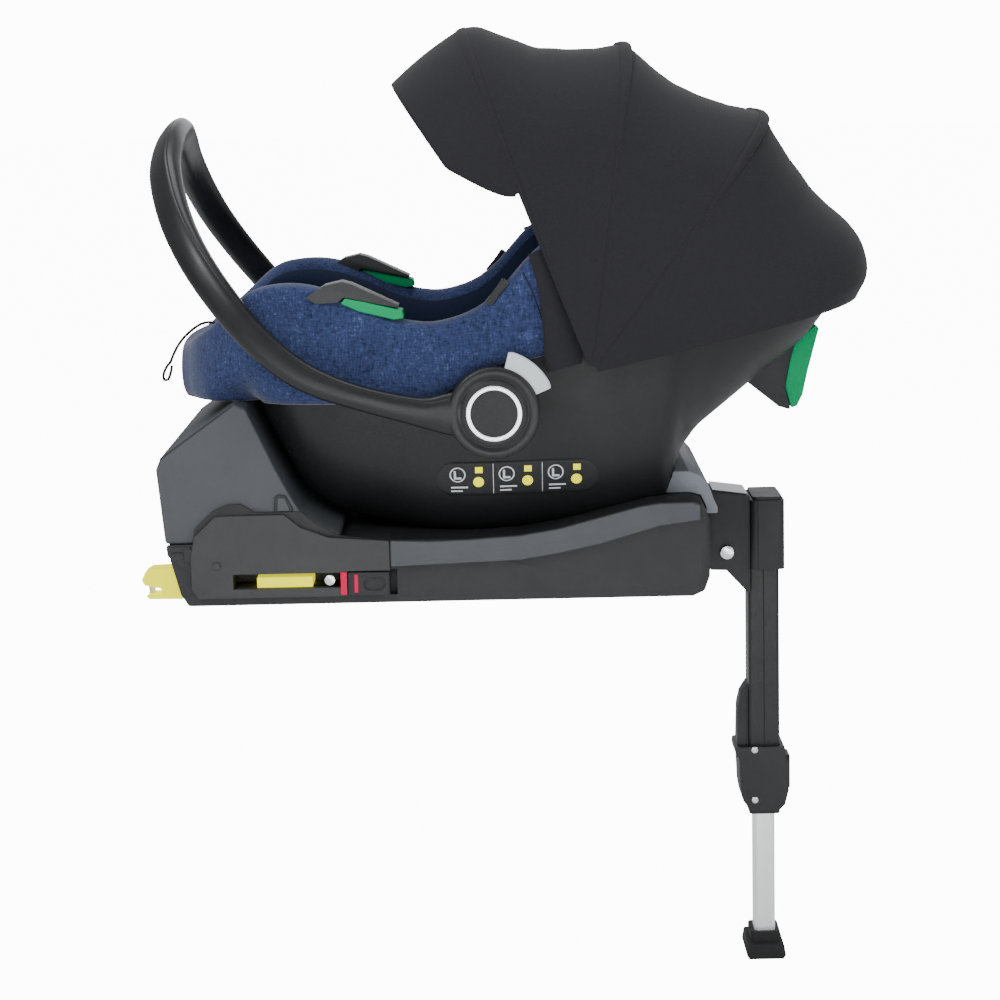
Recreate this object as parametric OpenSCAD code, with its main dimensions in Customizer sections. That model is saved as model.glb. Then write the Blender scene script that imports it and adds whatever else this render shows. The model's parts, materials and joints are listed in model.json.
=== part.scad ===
// Rear-facing infant carrier on an anchor-bar base with a folding support leg.
// +X points from the anchor bars towards the leg, +Z up, origin midway between the two anchor bars.

/* [Anchor bars] */
// Distance between the centres of the two connectors
anchor_pitch = 280; // [276:1:284]
// Radius of the jaw that closes on a 6 mm anchor bar
jaw_r = 3.2; // [3.1:0.05:3.4]
// Width of one connector across its jaw
jaw_w = 24; // [20:1:26]

/* [Base] */
// Half width of the base housing, without its side covers
base_hw = 183; // [180:1:185]
// Thickness of the side covers
cover_t = 4; // [3:0.5:5]
// Clearance between the carrier shell and its cradle
cradle_gap = 2; // [1.5:0.5:3]

/* [Support leg] */
// Height of the foot's sole below the anchor bars
leg_drop = 418; // [400:1:430]
// Radius of the fold pivot pin
leg_pin_r = 5; // [4:0.5:6]
// Width of the outer leg tube across the car
leg_w = 40; // [36:1:42]

/* [Carrier] */
// Thickness of the plastic shell
shell_t = 4; // [3:0.5:5]
// Radius of the handle's hub discs
hub_r = 42.3; // [40:0.1:44]
// Radius of the pivot bosses that carry the handle
boss_r = 15; // [12:1:18]

/* [Canopy] */
// Thickness of the canopy's fabric with its lining
cloth_t = 3; // [2:0.5:4]

/* [Hidden] */
$fn = 48;

near = -1;              // the side that faces -Y
far = 1;
run_gap = 0.05;         // radial clearance of a running fit
part_gap = 0.4;         // clearance between bodies that move
arm_y = anchor_pitch / 2;
base_floor = -9;        // underside of the base
cover_y = base_hw + 3.3;
leg_x = 587;            // centre of the leg tubes
leg_pivot = [549.7, 4];
hub = [322, 172.5];     // handle axis, X and Z
hub_y = 206;            // inner face of the handle's hub discs
hub_t = 16;             // thickness of the hub discs
hook_pin = [16, 11.5];
canopy_pivot = [412, 205];
canopy_hw = 203;        // half width of the canopy at its pivots
grey = [0.30, 0.32, 0.34];
black = [0.14, 0.145, 0.155];
navy = [0.17, 0.22, 0.40];
deep_navy = [0.09, 0.12, 0.24];
yellow = [0.93, 0.90, 0.12];
red = [0.85, 0.10, 0.28];
green = [0.05, 0.62, 0.38];
silver = [0.75, 0.76, 0.78];

// ---------- general shapes ----------

// Extrudes an outline drawn in X and Z across Y from y0 to y1
module slab(y0, y1) translate([0, y1, 0]) rotate([90, 0, 0]) linear_extrude(y1 - y0) children();

// The same on one side of the car, from a to b outwards
module side_slab(side, a, b) slab(min(side * a, side * b), max(side * a, side * b)) children();

module outline(points, r = 3) offset(r, $fn = 24) offset(-r) polygon(points);

// Cylinder along Y
module yrod(r, y0, y1, at) translate([at[0], y1, at[1]]) rotate([90, 0, 0]) cylinder(r = r, h = y1 - y0);

module round_rect(w, d, r) {
    square([w - 2 * r, d], center = true);
    square([w, d - 2 * r], center = true);
    for (sx = [-1, 1], sy = [-1, 1]) translate([sx * (w / 2 - r), sy * (d / 2 - r)]) circle(r);
}

module round_bar(w, d, r, z0, z1, x = 0, y = 0)
    translate([x, y, z0]) linear_extrude(z1 - z0) round_rect(w, d, r);

// Closed solid through rings of points; every ring has the same even number of points.
// With closed set, the last ring joins the first and there are no end caps.
function signed_volume(points, faces, i = 0, sum = 0) = i == len(faces) ? sum
    : let (f = faces[i]) signed_volume(points, faces, i + 1, sum + points[f[0]] * cross(points[f[1]], points[f[2]]));

module loft(rings, closed = false) {
    m = len(rings);
    n = len(rings[0]);
    last = closed ? m - 1 : m - 2;
    points = [for (r = rings) each r];
    sides = [for (i = [0:last], j = [0:n - 1])
        let (a = i * n + j, b = i * n + (j + 1) % n, c = ((i + 1) % m) * n + (j + 1) % n, d = ((i + 1) % m) * n + j)
        each [[a, b, c], [a, c, d]]];
    // each end is closed by rungs between the two halves of its ring
    caps = closed ? [] : [for (e = [0, (m - 1) * n], j = [0:n / 2 - 2])
        let (a = e + j, b = e + j + 1, c = e + n - 2 - j, d = e + n - 1 - j)
        each e == 0 ? [[a, c, b], [a, d, c]] : [[a, b, c], [a, c, d]]];
    faces = concat(sides, [for (f = caps) if (f[0] != f[1] && f[1] != f[2] && f[0] != f[2]) f]);
    outward = signed_volume(points, faces) < 0;
    polyhedron(points, outward ? faces : [for (f = faces) [f[2], f[1], f[0]]]);
}

// Table lookup, eased over a short span so that the curve has no corners
function eased(x, table, span = 8) = (lookup(x - span, table) + 2 * lookup(x, table) + lookup(x + span, table)) / 4;
function unit(v) = v / norm(v);
function mix(a, b, t) = a + (b - a) * t;

// ---------- the carrier's hull ----------

// Underside, rim and half width along the carrier, from the foot end to the head end
hull_under = [[30, 192], [40, 186], [60, 184], [82, 184], [92, 178], [103, 154], [118, 121], [133, 92], [141, 80],
    [158, 67], [176, 58], [223, 45], [260, 33], [300, 27], [430, 26], [465, 31], [482, 42], [490, 62], [496, 104],
    [517, 133], [547, 157], [586, 189], [621, 215], [638, 235], [650, 256]];
hull_rim = [[30, 214], [40, 228], [60, 240], [82, 261], [100, 276], [130, 281], [155, 279], [182, 270], [218, 252],
    [241, 245], [267, 242], [299, 250], [317, 260], [336, 278], [352, 299], [380, 322], [430, 334], [500, 336],
    [586, 328], [620, 316], [648, 300]];
hull_width = [[30, 72], [40, 108], [60, 140], [82, 156], [100, 166], [130, 174], [182, 180], [267, 184], [352, 186],
    [430, 184], [500, 175], [586, 150], [620, 130], [648, 104]];
hull_power = 3.3;       // squareness of the cross section
hull_stations = [31, 36, 44, 54, 66, 80, 90, 98, 107, 118, 130, 144, 162, 185, 210, 240, 270, 300, 330, 360, 400,
    440, 466, 482, 490, 496, 508, 530, 560, 590, 618, 634, 648];

function under(x) = eased(x, hull_under, 4);
function rim(x) = eased(x, hull_rim);
function half_width(x) = eased(x, hull_width);

// One point of the U section: t runs from 0 at the left rim to 180 at the right rim; grow moves it outwards
function hull_point(x, t, grow, low) =
    let (c = cos(t), s = sin(t), k = 2 / hull_power, w = half_width(x) + grow, h = rim(x) - low)
    [x, -w * sign(c) * pow(abs(c), k), rim(x) - h * pow(s, k)];

function hull_curve(x, grow, low, steps = 20) = [for (i = [0:steps]) hull_point(x, 180 * i / steps, grow, low)];

// U section with an outside and an inside curve, closed along both rims
function trough(x, out_grow, out_low, in_grow, in_low, steps = 20) =
    let (a = hull_curve(x, out_grow, out_low, steps), b = hull_curve(x, in_grow, in_low, steps))
    concat(a, [for (i = [steps:-1:0]) b[i]]);

// Solid that clears the carrier and its way straight up
module cradle_space(gap) loft([for (x = concat([20], hull_stations, [700]))
    let (at = min(max(x, 31), 648), w = half_width(at) + gap)
    concat([[x, -w, 420]], [for (p = hull_curve(at, gap, under(at) - gap, 17)) [x, p[1], p[2]]], [[x, w, 420]])]);

// ---------- base ----------

base_profile = [[13, 50], [16, 36], [25, 2], [32, base_floor], [505, base_floor], [516, -4], [521, 10], [522, 63],
    [516, 77], [506, 80], [465, 79], [418, 68], [381, 58], [343, 52], [297, 49.5], [222, 50]];
rim_plate = [[13, 50], [38, 50], [40, 64], [58, 81], [72, 87], [84, 87], [97, 79.5], [140, 79], [156, 66], [176, 56],
    [222, 50], [222, 20], [36, 20], [14, 40]];
end_profile = [[12, 50.4], [5.7, 121], [10.8, 132.6], [79.5, 180.8], [91, 176], [102, 152], [117, 119], [132, 90],
    [139, 79], [157, 66], [176, 56.5], [223, 50.4]];
cover_profile = [[36, 8], [36, 40], [40, 58], [60, 76.8], [124, 77.3], [139, 65], [165, 55], [221.6, 50.6],
    [221.6, -1], [42, -1]];
strip_profile = [[222.4, 50.4], [259.7, 49], [297, 50], [343.6, 52.7], [381, 58.5], [418.4, 68], [455.8, 77.7],
    [474, 80.4], [505, 80.6], [512, 78], [512, 64.2], [474.2, 59.4], [455.5, 54.1], [418.1, 43.5], [380.6, 35.8],
    [343.2, 30], [296.5, 28], [222.4, 26]];
slot_x = [75, 181.8];
slot_z = [7.6, 21.4];
release_x = [182.3, 221];
release_travel = 6;

module arm_tunnels()
    for (side = [near, far]) {
        // square tunnel of the arm, its wide mouth and the slot for its yellow marker
        translate([-10, side * arm_y - jaw_w / 2 - 1, -5]) cube([226, jaw_w + 2, 24]);
        translate([-10, side * arm_y - jaw_w / 2 - 1, -10]) cube([62, jaw_w + 2, 40]);
        side_slab(side, arm_y, 200) polygon([[slot_x[0], slot_z[0]], [slot_x[1], slot_z[0]],
            [slot_x[1], slot_z[1]], [slot_x[0], slot_z[1]]]);
        side_slab(side, base_hw - 7, 200) polygon([[181.8, -1.5], [228, -1.5], [228, 22.5], [181.8, 22.5]]);
    }

module base_lower() color(black) difference() {
    union() {
        slab(-base_hw, base_hw) outline(base_profile);
        for (side = [near, far]) side_slab(side, base_hw, base_hw + 3) outline(rim_plate, 2);
    }
    cradle_space(cradle_gap);
    arm_tunnels();
    // stowage channel for the folded leg, open to the front
    translate([95, -44, base_floor - 1]) cube([450, 88, 11]);
    // pocket that takes the leg's tongue
    translate([506, -20.3, -9.5]) cube([20, 40.6, 27]);
    // recess of the seat release button
    translate([507.4, -40.6, 71]) cube([20, 81.2, 20]);
    // hollow inside of the front end
    translate([498, -150, 12]) cube([18, 120, 50]);
    translate([498, 30, 12]) cube([18, 120, 50]);
}

module base_end() color(grey) difference() {
    slab(-base_hw + 0.3, base_hw - 0.3) outline(end_profile, 4);
    cradle_space(cradle_gap);
}

module side_cover(side) color(grey) difference() {
    side_slab(side, cover_y, cover_y + cover_t) outline(cover_profile, 2.5);
    arm_tunnels();
}

module side_strip(side) color(grey) side_slab(side, base_hw + 0.2, cover_y + cover_t) outline(strip_profile, 1.5);

module base_front() color([0.36, 0.38, 0.40]) difference() {
    slab(-128, 128) outline([[470, 80.8], [470, 101], [506, 100.8], [517, 96], [525, 87], [530, 72], [533, 66],
        [533, 60], [522.4, 60], [522.4, 66], [517, 78], [507, 80.8]], 1.5);
    cradle_space(cradle_gap);
    translate([505, -40.5, 70.2]) cube([40, 81, 17]);
}

module seat_release_button() color(red) slab(-40, 40) polygon([[512, 71.6], [512, 85.4], [524, 85.4], [527.5, 78],
    [528.5, 71.6]]);

module leg_tongue() color(silver) difference() {
    union() {
        slab(-20, 20) polygon([[506.4, -8], [506.4, 16], [549.7, 16], [549.7, -8]]);
        yrod(12, -20, 20, leg_pivot);
    }
    yrod(leg_pin_r, -21, 21, leg_pivot);
    translate([500, -14, -20]) cube([36, 28, 60]);
}

module leg_pivot_pin() color(silver) {
    yrod(leg_pin_r, -32.2, 32.2, leg_pivot);
    yrod(7, -34.2, -31.4, leg_pivot);
    yrod(7, 31.4, 34.2, leg_pivot);
}

module screws() color(silver) for (side = [near, far]) {
    // the screw seen in the slot of each side cover, and the one behind the release
    side_slab(side, 186, 189.5) translate([165.2, 14.4]) circle(r = 5);
    side_slab(side, cover_y + cover_t, cover_y + cover_t + 1.5) translate([60, 30]) circle(r = 3.4);
}

// ---------- anchor connectors ----------

module isofix_arm(side) color(yellow) {
    // pin of the hook, across its slot
    yrod(3, side * arm_y - 3.6, side * arm_y + 3.6, hook_pin);
    isofix_arm_body(side);
}

module isofix_arm_body(side) difference() {
    union() {
        side_slab(side, arm_y - jaw_w / 2, arm_y + jaw_w / 2) polygon([[-12, 18.5], [-6.7, 21.5], [20, 22.6],
            [27, 18], [186, 18], [186, -4], [27, -4], [22.5, -8], [-9, -7.5], [-11.8, -4.6], [-5.8, -3.2], [0, -jaw_r],
            [0, jaw_r], [-5.6, 4], [-13.1, 6], [-15.7, 11]]);
        side_slab(side, arm_y + jaw_w / 2 - 1, cover_y + 1.6) polygon([[97, 8.2], [149, 8.2], [149, 18], [97, 18]]);
    }
    yrod(jaw_r, side * arm_y - 20, side * arm_y + 20, [0, 0]);
    // slot for the hook
    translate([-20, side * arm_y - 3, -12]) cube([48, 6, 46]);
}

// The hook closes the jaw from above, in front of the bar
module isofix_hook(side) color(silver) slab(side * arm_y - 2.5, side * arm_y + 2.5) difference() {
    union() {
        polygon([[-9.6, -3], [-4.6, -3], [-3.9, 6], [8, 6.5], [17, 6], [22, 10], [20, 17], [8, 18], [-6, 15],
            [-11, 9]]);
        translate(hook_pin) circle(r = 6);
    }
    translate(hook_pin) circle(r = 3 + run_gap);
}

module isofix_release(side) color([0.12, 0.12, 0.13]) difference() {
    side_slab(side, base_hw - 6.4, cover_y + cover_t + 1) polygon([[release_x[0], -0.6], [release_x[1], -0.6],
        [release_x[1], 21.4], [release_x[0], 21.4]]);
    side_slab(side, cover_y + 2.6, cover_y + cover_t + 2) hull() {
        translate([203, 10.4]) circle(r = 6);
        translate([211, 10.4]) circle(r = 6);
    }
}

// ---------- support leg ----------

tube_low = -268;
inner_low = -411;

module leg_ears() color(black) for (side = [near, far]) difference() {
    side_slab(side, 20.6, 30.6) outline([[533, -13.8], [533, 65], [572.6, 60], [572.6, -40], [549, -14.4]], 1.5);
    yrod(leg_pin_r + run_gap, -40, 40, leg_pivot);
}

module leg_cap() color([0.17, 0.175, 0.185]) difference() {
    union() {
        round_bar(33.6, 72, 6, -13.5, 56, 589.9);
        round_bar(29, 66, 5, 55, 59, 589.9);
    }
    round_bar(31.4, leg_w + 0.4, 4, -14, 50.2, leg_x);
}

module leg_tube() color(black) difference() {
    round_bar(31, leg_w, 4, tube_low, 50, leg_x);
    round_bar(23, leg_w - 8, 3, tube_low - 1, 46, leg_x);
}

module leg_clamp() color(black) difference() {
    union() {
        slab(-26, 26) outline([[557.6, -197], [557.6, -205], [561, -208], [562.4, -241], [564.4, -252],
            [571.4, -262.6], [600.6, -263.4], [607, -257], [610.8, -242], [611, -216], [607.9, -206],
            [607, -197]], 2);
        // housing of the adjuster along the back edge of the tube
        slab(-14, 14) outline([[578, -134], [571, -134], [564, -145], [561, -158], [559.7, -204], [578, -204]], 2);
    }
    round_bar(31.2, leg_w + 0.2, 4, -270, -100, leg_x);
    // pocket of the adjuster button
    translate([603.4, -13.4, -243.4]) cube([10, 26.8, 34.8]);
}

module leg_button() color([0.2, 0.2, 0.21]) translate([608.4, -13, -243]) cube([5, 26, 34]);

module leg_inner_tube() color(silver) difference() {
    round_bar(21, leg_w - 10, 4, inner_low, -130, leg_x);
    round_bar(17, leg_w - 14, 3, inner_low + 4, -129, leg_x);
    // row of locking holes towards the button
    for (i = [0:8]) translate([leg_x + 5, 0, -395 + 24 * i]) rotate([0, 90, 0]) cylinder(r = 4, h = 10);
}

module leg_foot() color([0.1, 0.1, 0.105]) difference() {
    union() {
        slab(-30, 30) outline([[567, -414], [569, -402.5], [605, -402.5], [607, -414], [604.5, -leg_drop],
            [569.5, -leg_drop]], 1.5);
        round_bar(30, leg_w, 5, -405, -392, leg_x);
    }
    round_bar(21.2, leg_w - 9.8, 4, inner_low, -390, leg_x);
}

// ---------- carrier ----------

module shell() color(black) loft([for (x = hull_stations)
    let (low = under(x), deep = min(shell_t, (rim(x) - low) * 0.35)) trough(x, 0, low, -shell_t, low + deep)]);

seat_floor = [[44, 226], [60, 233], [82, 225], [100, 200], [130, 165], [182, 124], [223, 104], [267, 95], [300, 93],
    [352, 98], [430, 116], [500, 150], [547, 188], [586, 222], [621, 260], [640, 290], [655, 312], [664, 322]];
function floor_z(x) = min(eased(x, seat_floor), rim(x) - 4);

module seat_lining() loft([for (x = [for (s = hull_stations) if (s > 40 && s < 640) s])
    let (low = under(x) + shell_t + 1, w = -shell_t - 1) trough(x, w, low, w - 24, max(floor_z(x), low + 3))]);

// Middle and sides of the lining
side_split = 104;
module seat_liner() color(deep_navy) intersection() {
    seat_lining();
    translate([0, -side_split, 0]) cube([700, 2 * side_split, 400]);
}

module seat_side(side) color(deep_navy) intersection() {
    seat_lining();
    translate([0, side > 0 ? side_split : -side_split - 120, 0]) cube([700, 120, 400]);
}

// Padded fabric that wraps the rim and hangs down outside the shell
hem_line = [[30, 180], [60, 182], [235, 182], [272, 187], [300, 203], [328, 216], [365, 223], [430, 240],
    [500, 262], [586, 290], [640, 300], [672, 310]];
rim_xs = [33, 36, 42, 50, 60, 74, 90, 108, 130, 155, 182, 205, 230, 255, 280, 305, 330, 355, 380, 410, 450, 490, 530,
    570, 600, 622, 638, 646];
rim_loop = concat([for (x = rim_xs) [x, -half_width(x)]], [for (i = [len(rim_xs) - 1:-1:0])
    [rim_xs[i], half_width(rim_xs[i])]]);

// Width of the hull at a height, as a share of its width at the rim
function narrowing(x, z) = let (d = min(0.98, max(0, rim(x) - z) / (rim(x) - under(x))))
    pow(1 - pow(d, hull_power), 1 / hull_power);

function cover_ring(i) = let (
    n = len(rim_loop), p = rim_loop[i], q = rim_loop[(i + 1) % n], o = rim_loop[(i + n - 1) % n],
    along = unit(q - o), out = [along[1], -along[0]], x = p[0],
    top = rim(x), hem = min(lookup(x, hem_line), top - 14),
    side = min(1, abs(out[1]) + 0.12) * max(0, min(1, (x - 60) / 80)),
    shift = function(z) side * half_width(x) * (1 - narrowing(x, z)),
    mid = (top + hem) / 2)
    [for (s = [[0.8, hem], [6, hem], [9, mix(hem, top, 0.25)], [9, mix(hem, top, 0.6)], [8, top + 3],
        [2, top + 10], [-10, top + 11], [-22, top + 4], [-27, top - 8], [-26, top - 10], [-12, top + 2.5],
        [0.8, top + 1.2], [0.8, mid]])
        let (n_out = s[0] - (s[1] < top ? shift(s[1]) * (s[0] > 0 ? 1 : 0) : 0))
        [x + out[0] * n_out, p[1] + out[1] * n_out, s[1]]];

module cover() color(navy) loft([for (i = [0:len(rim_loop) - 1]) cover_ring(i)], closed = true);

module seat_pad() color(deep_navy) loft([for (x = [110, 120, 140, 170, 200, 240, 280, 320, 360, 400, 440, 480, 500])
    let (z = floor_z(x) + 3, w = half_width(x) * 0.42, h = (x < 125 || x > 490) ? 10 : 20)
    [for (a = [0:20:340]) [x, w * sign(cos(a)) * pow(abs(cos(a)), 0.5), z + h / 2 + h / 2 * sin(a)
        + 20 * pow(abs(w * cos(a)) / half_width(x), 3)]]]);

back_slope = atan2(34, 41);
module headrest() color(navy) translate([537.4, 0, 213]) rotate([0, -back_slope, 0]) difference() {
    translate([-45, -92, 0]) cube([90, 184, 62]);
    translate([-50, -66, 20]) cube([100, 132, 60]);
}

module pivot_bosses() color(black) for (side = [near, far]) {
    side_slab(side, 178, hub_y - part_gap) translate(hub) circle(r = 33);
    side_slab(side, hub_y - part_gap, hub_y + hub_t - 1) translate(hub) circle(r = boss_r);
}

// Guides that hold the car's lap belt on the rim, each with a green insert
module belt_guide(side) color([0.24, 0.25, 0.25]) side_slab(side, 160, 190) outline([[151, 279], [168, 289.5],
    [184, 293], [193, 290.5], [243, 266.5], [205, 274.5], [186, 278.5], [180, 274], [160, 273]], 1);

module belt_insert(side) color(green) side_slab(side, 164, 192) outline([[183, 273], [187, 277.6], [205, 274],
    [239.5, 265.6], [240.7, 258.5], [232, 257.2], [200, 265.4]], 1);

// Guide for the diagonal belt behind the head end
module rear_guide() color(black) {
    slab(-46, 46) outline([[566, 178], [600, 150.5], [612, 147], [606, 170], [611, 196], [616, 211.5], [600, 206]], 1.5);
}

module rear_insert() color(green) slab(-44, 44) outline([[616.4, 211.6], [637, 230], [640, 226], [636, 212],
    [629, 185], [624, 162], [618.4, 150.4], [612.5, 148.5], [606.6, 170], [611.6, 196]], 1.5);

// ---------- harness ----------

// Flat strap through hand-set points, each given as [x, y, z], with its width along side
module strap(points, wide, thick, side = [0, 1, 0]) loft([for (i = [0:len(points) - 1])
    let (a = points[max(i - 1, 0)], b = points[min(i + 1, len(points) - 1)], up = unit(cross(b - a, side)),
        s = side * wide / 2, u = up * thick / 2, p = points[i]) [p - s - u, p + s - u, p + s + u, p - s + u]]);

module harness(side) color([0.13, 0.13, 0.14]) strap([[488, side * 46, 187], [470, side * 49, 182],
    [440, side * 51, 174], [400, side * 50, 164], [350, side * 42, 154], [300, side * 30, 150],
    [264, side * 21, 151]], 32, 2.4);

module crotch_strap() color([0.13, 0.13, 0.14]) strap([[210, 0, 128], [212, 0, 134], [218, 0, 141],
    [225.6, 0, 146]], 34, 2.4);

module buckle() color([0.16, 0.16, 0.17]) translate([245, 0, 151]) rotate([0, -8, 0]) difference() {
    slab(-25, 25) outline([[-20, -8], [-20, 5], [-12, 8], [14, 8], [20, 4], [20, -8]], 2);
    translate([-10.5, -11.5, 1.5]) cube([21, 23, 20]);
}

module buckle_button() color(red) translate([245, 0, 151]) rotate([0, -8, 0]) translate([-10, -11, 5]) cube([20, 22, 5]);

module adjuster() color(black) difference() {
    slab(-24, 24) outline([[54, 236.5], [66, 239.5], [84, 244], [86, 248.5], [66, 247], [54, 243]], 1);
    translate([62, -12.5, 241.5]) cube([16, 25, 20]);
}

module adjuster_button() color([0.3, 0.3, 0.31]) translate([62.5, -12, 245.4]) cube([15, 24, 5]);

// Pull strap of the harness adjuster, a cord that hangs free over the foot end
pull_route = [[54, -14, 240], [48, -15, 241.5], [41, -16, 242], [34, -18, 240], [27, -20, 235.5], [20, -21, 229.5],
    [14, -22, 222.5], [10, -22.5, 216], [7, -23, 210], [4.6, -23, 204.5]];
pull_loop = [[4.6, -23, 204.5], [0.8, -23, 200], [-2, -23, 194.5], [-3, -23, 189.5], [-1.4, -23, 186.6],
    [1.6, -23, 187.4], [3.4, -23, 191], [5, -23, 196], [5.8, -23, 201]];
module tube(points, r, sides = 8) loft([for (i = [0:len(points) - 1])
    let (a = points[max(i - 1, 0)], b = points[min(i + 1, len(points) - 1)], t = unit(b - a),
        u = unit(cross(t, [0.13, 1, 0.07])), v = cross(t, u))
    [for (k = [0:sides - 1]) points[i] + r * (u * cos(360 * k / sides) + v * sin(360 * k / sides))]]);
module pull_strap() color([0.05, 0.05, 0.05]) tube(concat(pull_route, [for (i = [1:len(pull_loop) - 1])
    pull_loop[i]]), 1.4);

// ---------- carry handle ----------

// Centre line of one arm from the hub to the middle of the grip
arm_line = [[303, -213.8, 172], [278, -214.4, 172], [252, -216, 175], [200, -216, 188.5], [160, -214, 203],
    [130, -210, 221], [101, -204, 247], [76, -195, 277], [53, -180, 309], [35, -158, 340], [23, -131, 369],
    [16, -97, 396], [16, -52, 417], [18, 0, 426]];
// Half height of the section and half thickness, at each point
arm_size = [[24, 7.8], [19, 7.8], [13.5, 8.6], [11.6, 9.5], [12.8, 9.8], [13.6, 10], [14.2, 10.2], [14.8, 10.6],
    [15.2, 11], [15.6, 11.4], [16, 11.8], [16.4, 12], [16.6, 12], [16.6, 12]];
whole_line = concat(arm_line, [for (i = [len(arm_line) - 2:-1:0]) [arm_line[i][0], -arm_line[i][1], arm_line[i][2]]]);
whole_size = concat(arm_size, [for (i = [len(arm_size) - 2:-1:0]) arm_size[i]]);

function spline(p, u) = let (n = len(p) - 1, i = min(floor(u), n - 1), t = u - i,
    a = p[max(i - 1, 0)], b = p[i], c = p[i + 1], d = p[min(i + 2, n)])
    0.5 * (2 * b + (c - a) * t + (2 * a - 5 * b + 4 * c - d) * t * t + (3 * b - a - 3 * c + d) * t * t * t);

module handle_arch(steps = 3, sides = 14) {
    n = len(whole_line) - 1;
    plane = unit([0.642, 0, 0.766]);
    loft([for (k = [0:n * steps]) let (u = k / steps, p = spline(whole_line, u), size = spline(whole_size, u),
        t = unit(spline(whole_line, min(u + 0.05, n)) - spline(whole_line, max(u - 0.05, 0))),
        e = unit(plane - (plane * t) * t), f = cross(t, e))
        [for (j = [0:sides - 1]) let (a = 360 * j / sides, c = cos(a), s = sin(a))
            p + e * size[0] * sign(c) * pow(abs(c), 0.8) + f * size[1] * sign(s) * pow(abs(s), 0.8)]]);
}

button_angles = [18, 80];
module wedge(r, a0, a1) polygon(concat([[0, 0]], [for (i = [0:8]) let (a = mix(a0, a1, i / 8)) [r * cos(a), r * sin(a)]]));

module handle() color([0.19, 0.20, 0.205]) difference() {
    union() {
        handle_arch();
        for (side = [near, far]) side_slab(side, hub_y, hub_y + hub_t) translate(hub) circle(r = hub_r);
    }
    for (side = [near, far]) {
        side_slab(side, hub_y - 8, hub_y + hub_t + 8) translate(hub) circle(r = boss_r + run_gap);
        // pocket of the release button, open outwards
        side_slab(side, hub_y + 3, hub_y + hub_t - 3) translate(hub) difference() {
            wedge(70, button_angles[0], button_angles[1]);
            circle(r = 28);
        }
    }
}

module hub_cap(side) color([0.15, 0.155, 0.16]) side_slab(side, hub_y + hub_t, hub_y + hub_t + 2.5) translate(hub)
    circle(r = 30);

module hub_ring(side) color(silver) side_slab(side, hub_y + hub_t + 2.5, hub_y + hub_t + 4) translate(hub) difference() {
    circle(r = 25.7);
    circle(r = 21.5);
}

module handle_button(side) color([0.78, 0.80, 0.83]) side_slab(side, hub_y + 3.5, hub_y + hub_t - 3.5)
    translate(hub) difference() {
        wedge(66, button_angles[0] + 4.5, button_angles[1] - 4.5);
        circle(r = 35);
        difference() {
            circle(r = 80);
            circle(r = 58);
        }
    }

// ---------- canopy ----------

// Angle about the canopy pivot and crest radius of each bow, and the fixed rear edge
bow_front = [110, 336];
bow_middle = [82, 303];
bow_rear = [53, 290];
rear_edge = [12.5, 266];
// Crest radius of the tightened fabric along the top, by angle
crest_line = [[12.5, 266], [15, 280], [17.8, 285.9], [22.1, 287.9], [27, 282.6], [31.4, 274.5], [36.3, 270.2],
    [43.5, 271.8], [49.9, 280.3], [53, 289], [58.9, 278.3], [66.3, 272.4], [71.3, 275.4], [75.7, 282.5], [82, 302],
    [87, 295], [92.2, 294.1], [98.6, 300.7], [103.9, 318.9], [107.5, 335], [110, 336]];
bow_half = 0.9;         // half the angle that a bow covers
arch_turns = [-89.9, -89.6, -89, -87.8, -85.5, -82, -76, -68, -58, -46, -32, -16];
whole_turns = concat(arch_turns, [0], [for (i = [len(arch_turns) - 1:-1:0]) -arch_turns[i]]);

// Point of the canopy: angle about the pivot, crest radius, turn along the arch, and inset of the surface
function canopy_point(angle, crest, turn, inset = 0) = let (
    r = (crest - inset) * sqrt(abs(cos(turn))), y = (canopy_hw - inset) * sign(turn) * sqrt(abs(sin(turn))))
    [canopy_pivot[0] + r * cos(angle), y, canopy_pivot[1] + r * sin(angle)];

// Fabric between two edges; it dips most at the crest
module fabric(from, to, steps = 8) loft([for (turn = whole_turns) let (
    edge = [for (i = [0:steps]) let (s = i / steps, angle = mix(from[0], to[0], s),
        crest = mix(mix(from[1], to[1], s), lookup(angle, crest_line), sqrt(abs(cos(turn))))) [angle, crest]])
    concat([for (e = edge) canopy_point(e[0], e[1], turn)],
        [for (i = [steps:-1:0]) canopy_point(edge[i][0], edge[i][1], turn, cloth_t)])]);

module bow(b) color([0.11, 0.11, 0.12]) loft([for (turn = whole_turns) [
    canopy_point(b[0] - bow_half, b[1] + 0.6, turn), canopy_point(b[0] + bow_half, b[1] + 0.6, turn),
    canopy_point(b[0] + bow_half, b[1], turn, cloth_t + 1), canopy_point(b[0] - bow_half, b[1], turn, cloth_t + 1)]]);

function past(b, side, gap = 0.15) = [b[0] + side * (bow_half + gap), b[1]];

// Stiffened peak in front of the front bow; it narrows to nothing down the sides
visor_reach = 14;
visor_turns = [-73.5, -72, -70, -67, -62, -52, -40, -28, -14, 0, 14, 28, 40, 52, 62, 67, 70, 72, 73.5];
module canopy_visor(steps = 4) color([0.13, 0.13, 0.14]) loft([for (turn = visor_turns) let (
    share = sqrt(abs(cos(turn))),
    reach = max(0.8, visor_reach * pow(min(1, max(0, (share - 0.53) / 0.14)), 0.55)),
    from = past(bow_front, 1),
    edge = [for (i = [0:steps]) [from[0] + reach * i / steps, mix(bow_front[1], 322, i / steps * reach / visor_reach)]])
    concat([for (e = edge) canopy_point(e[0], e[1], turn)],
        [for (i = [steps:-1:0]) canopy_point(edge[i][0], edge[i][1], turn, cloth_t)])]);

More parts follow.
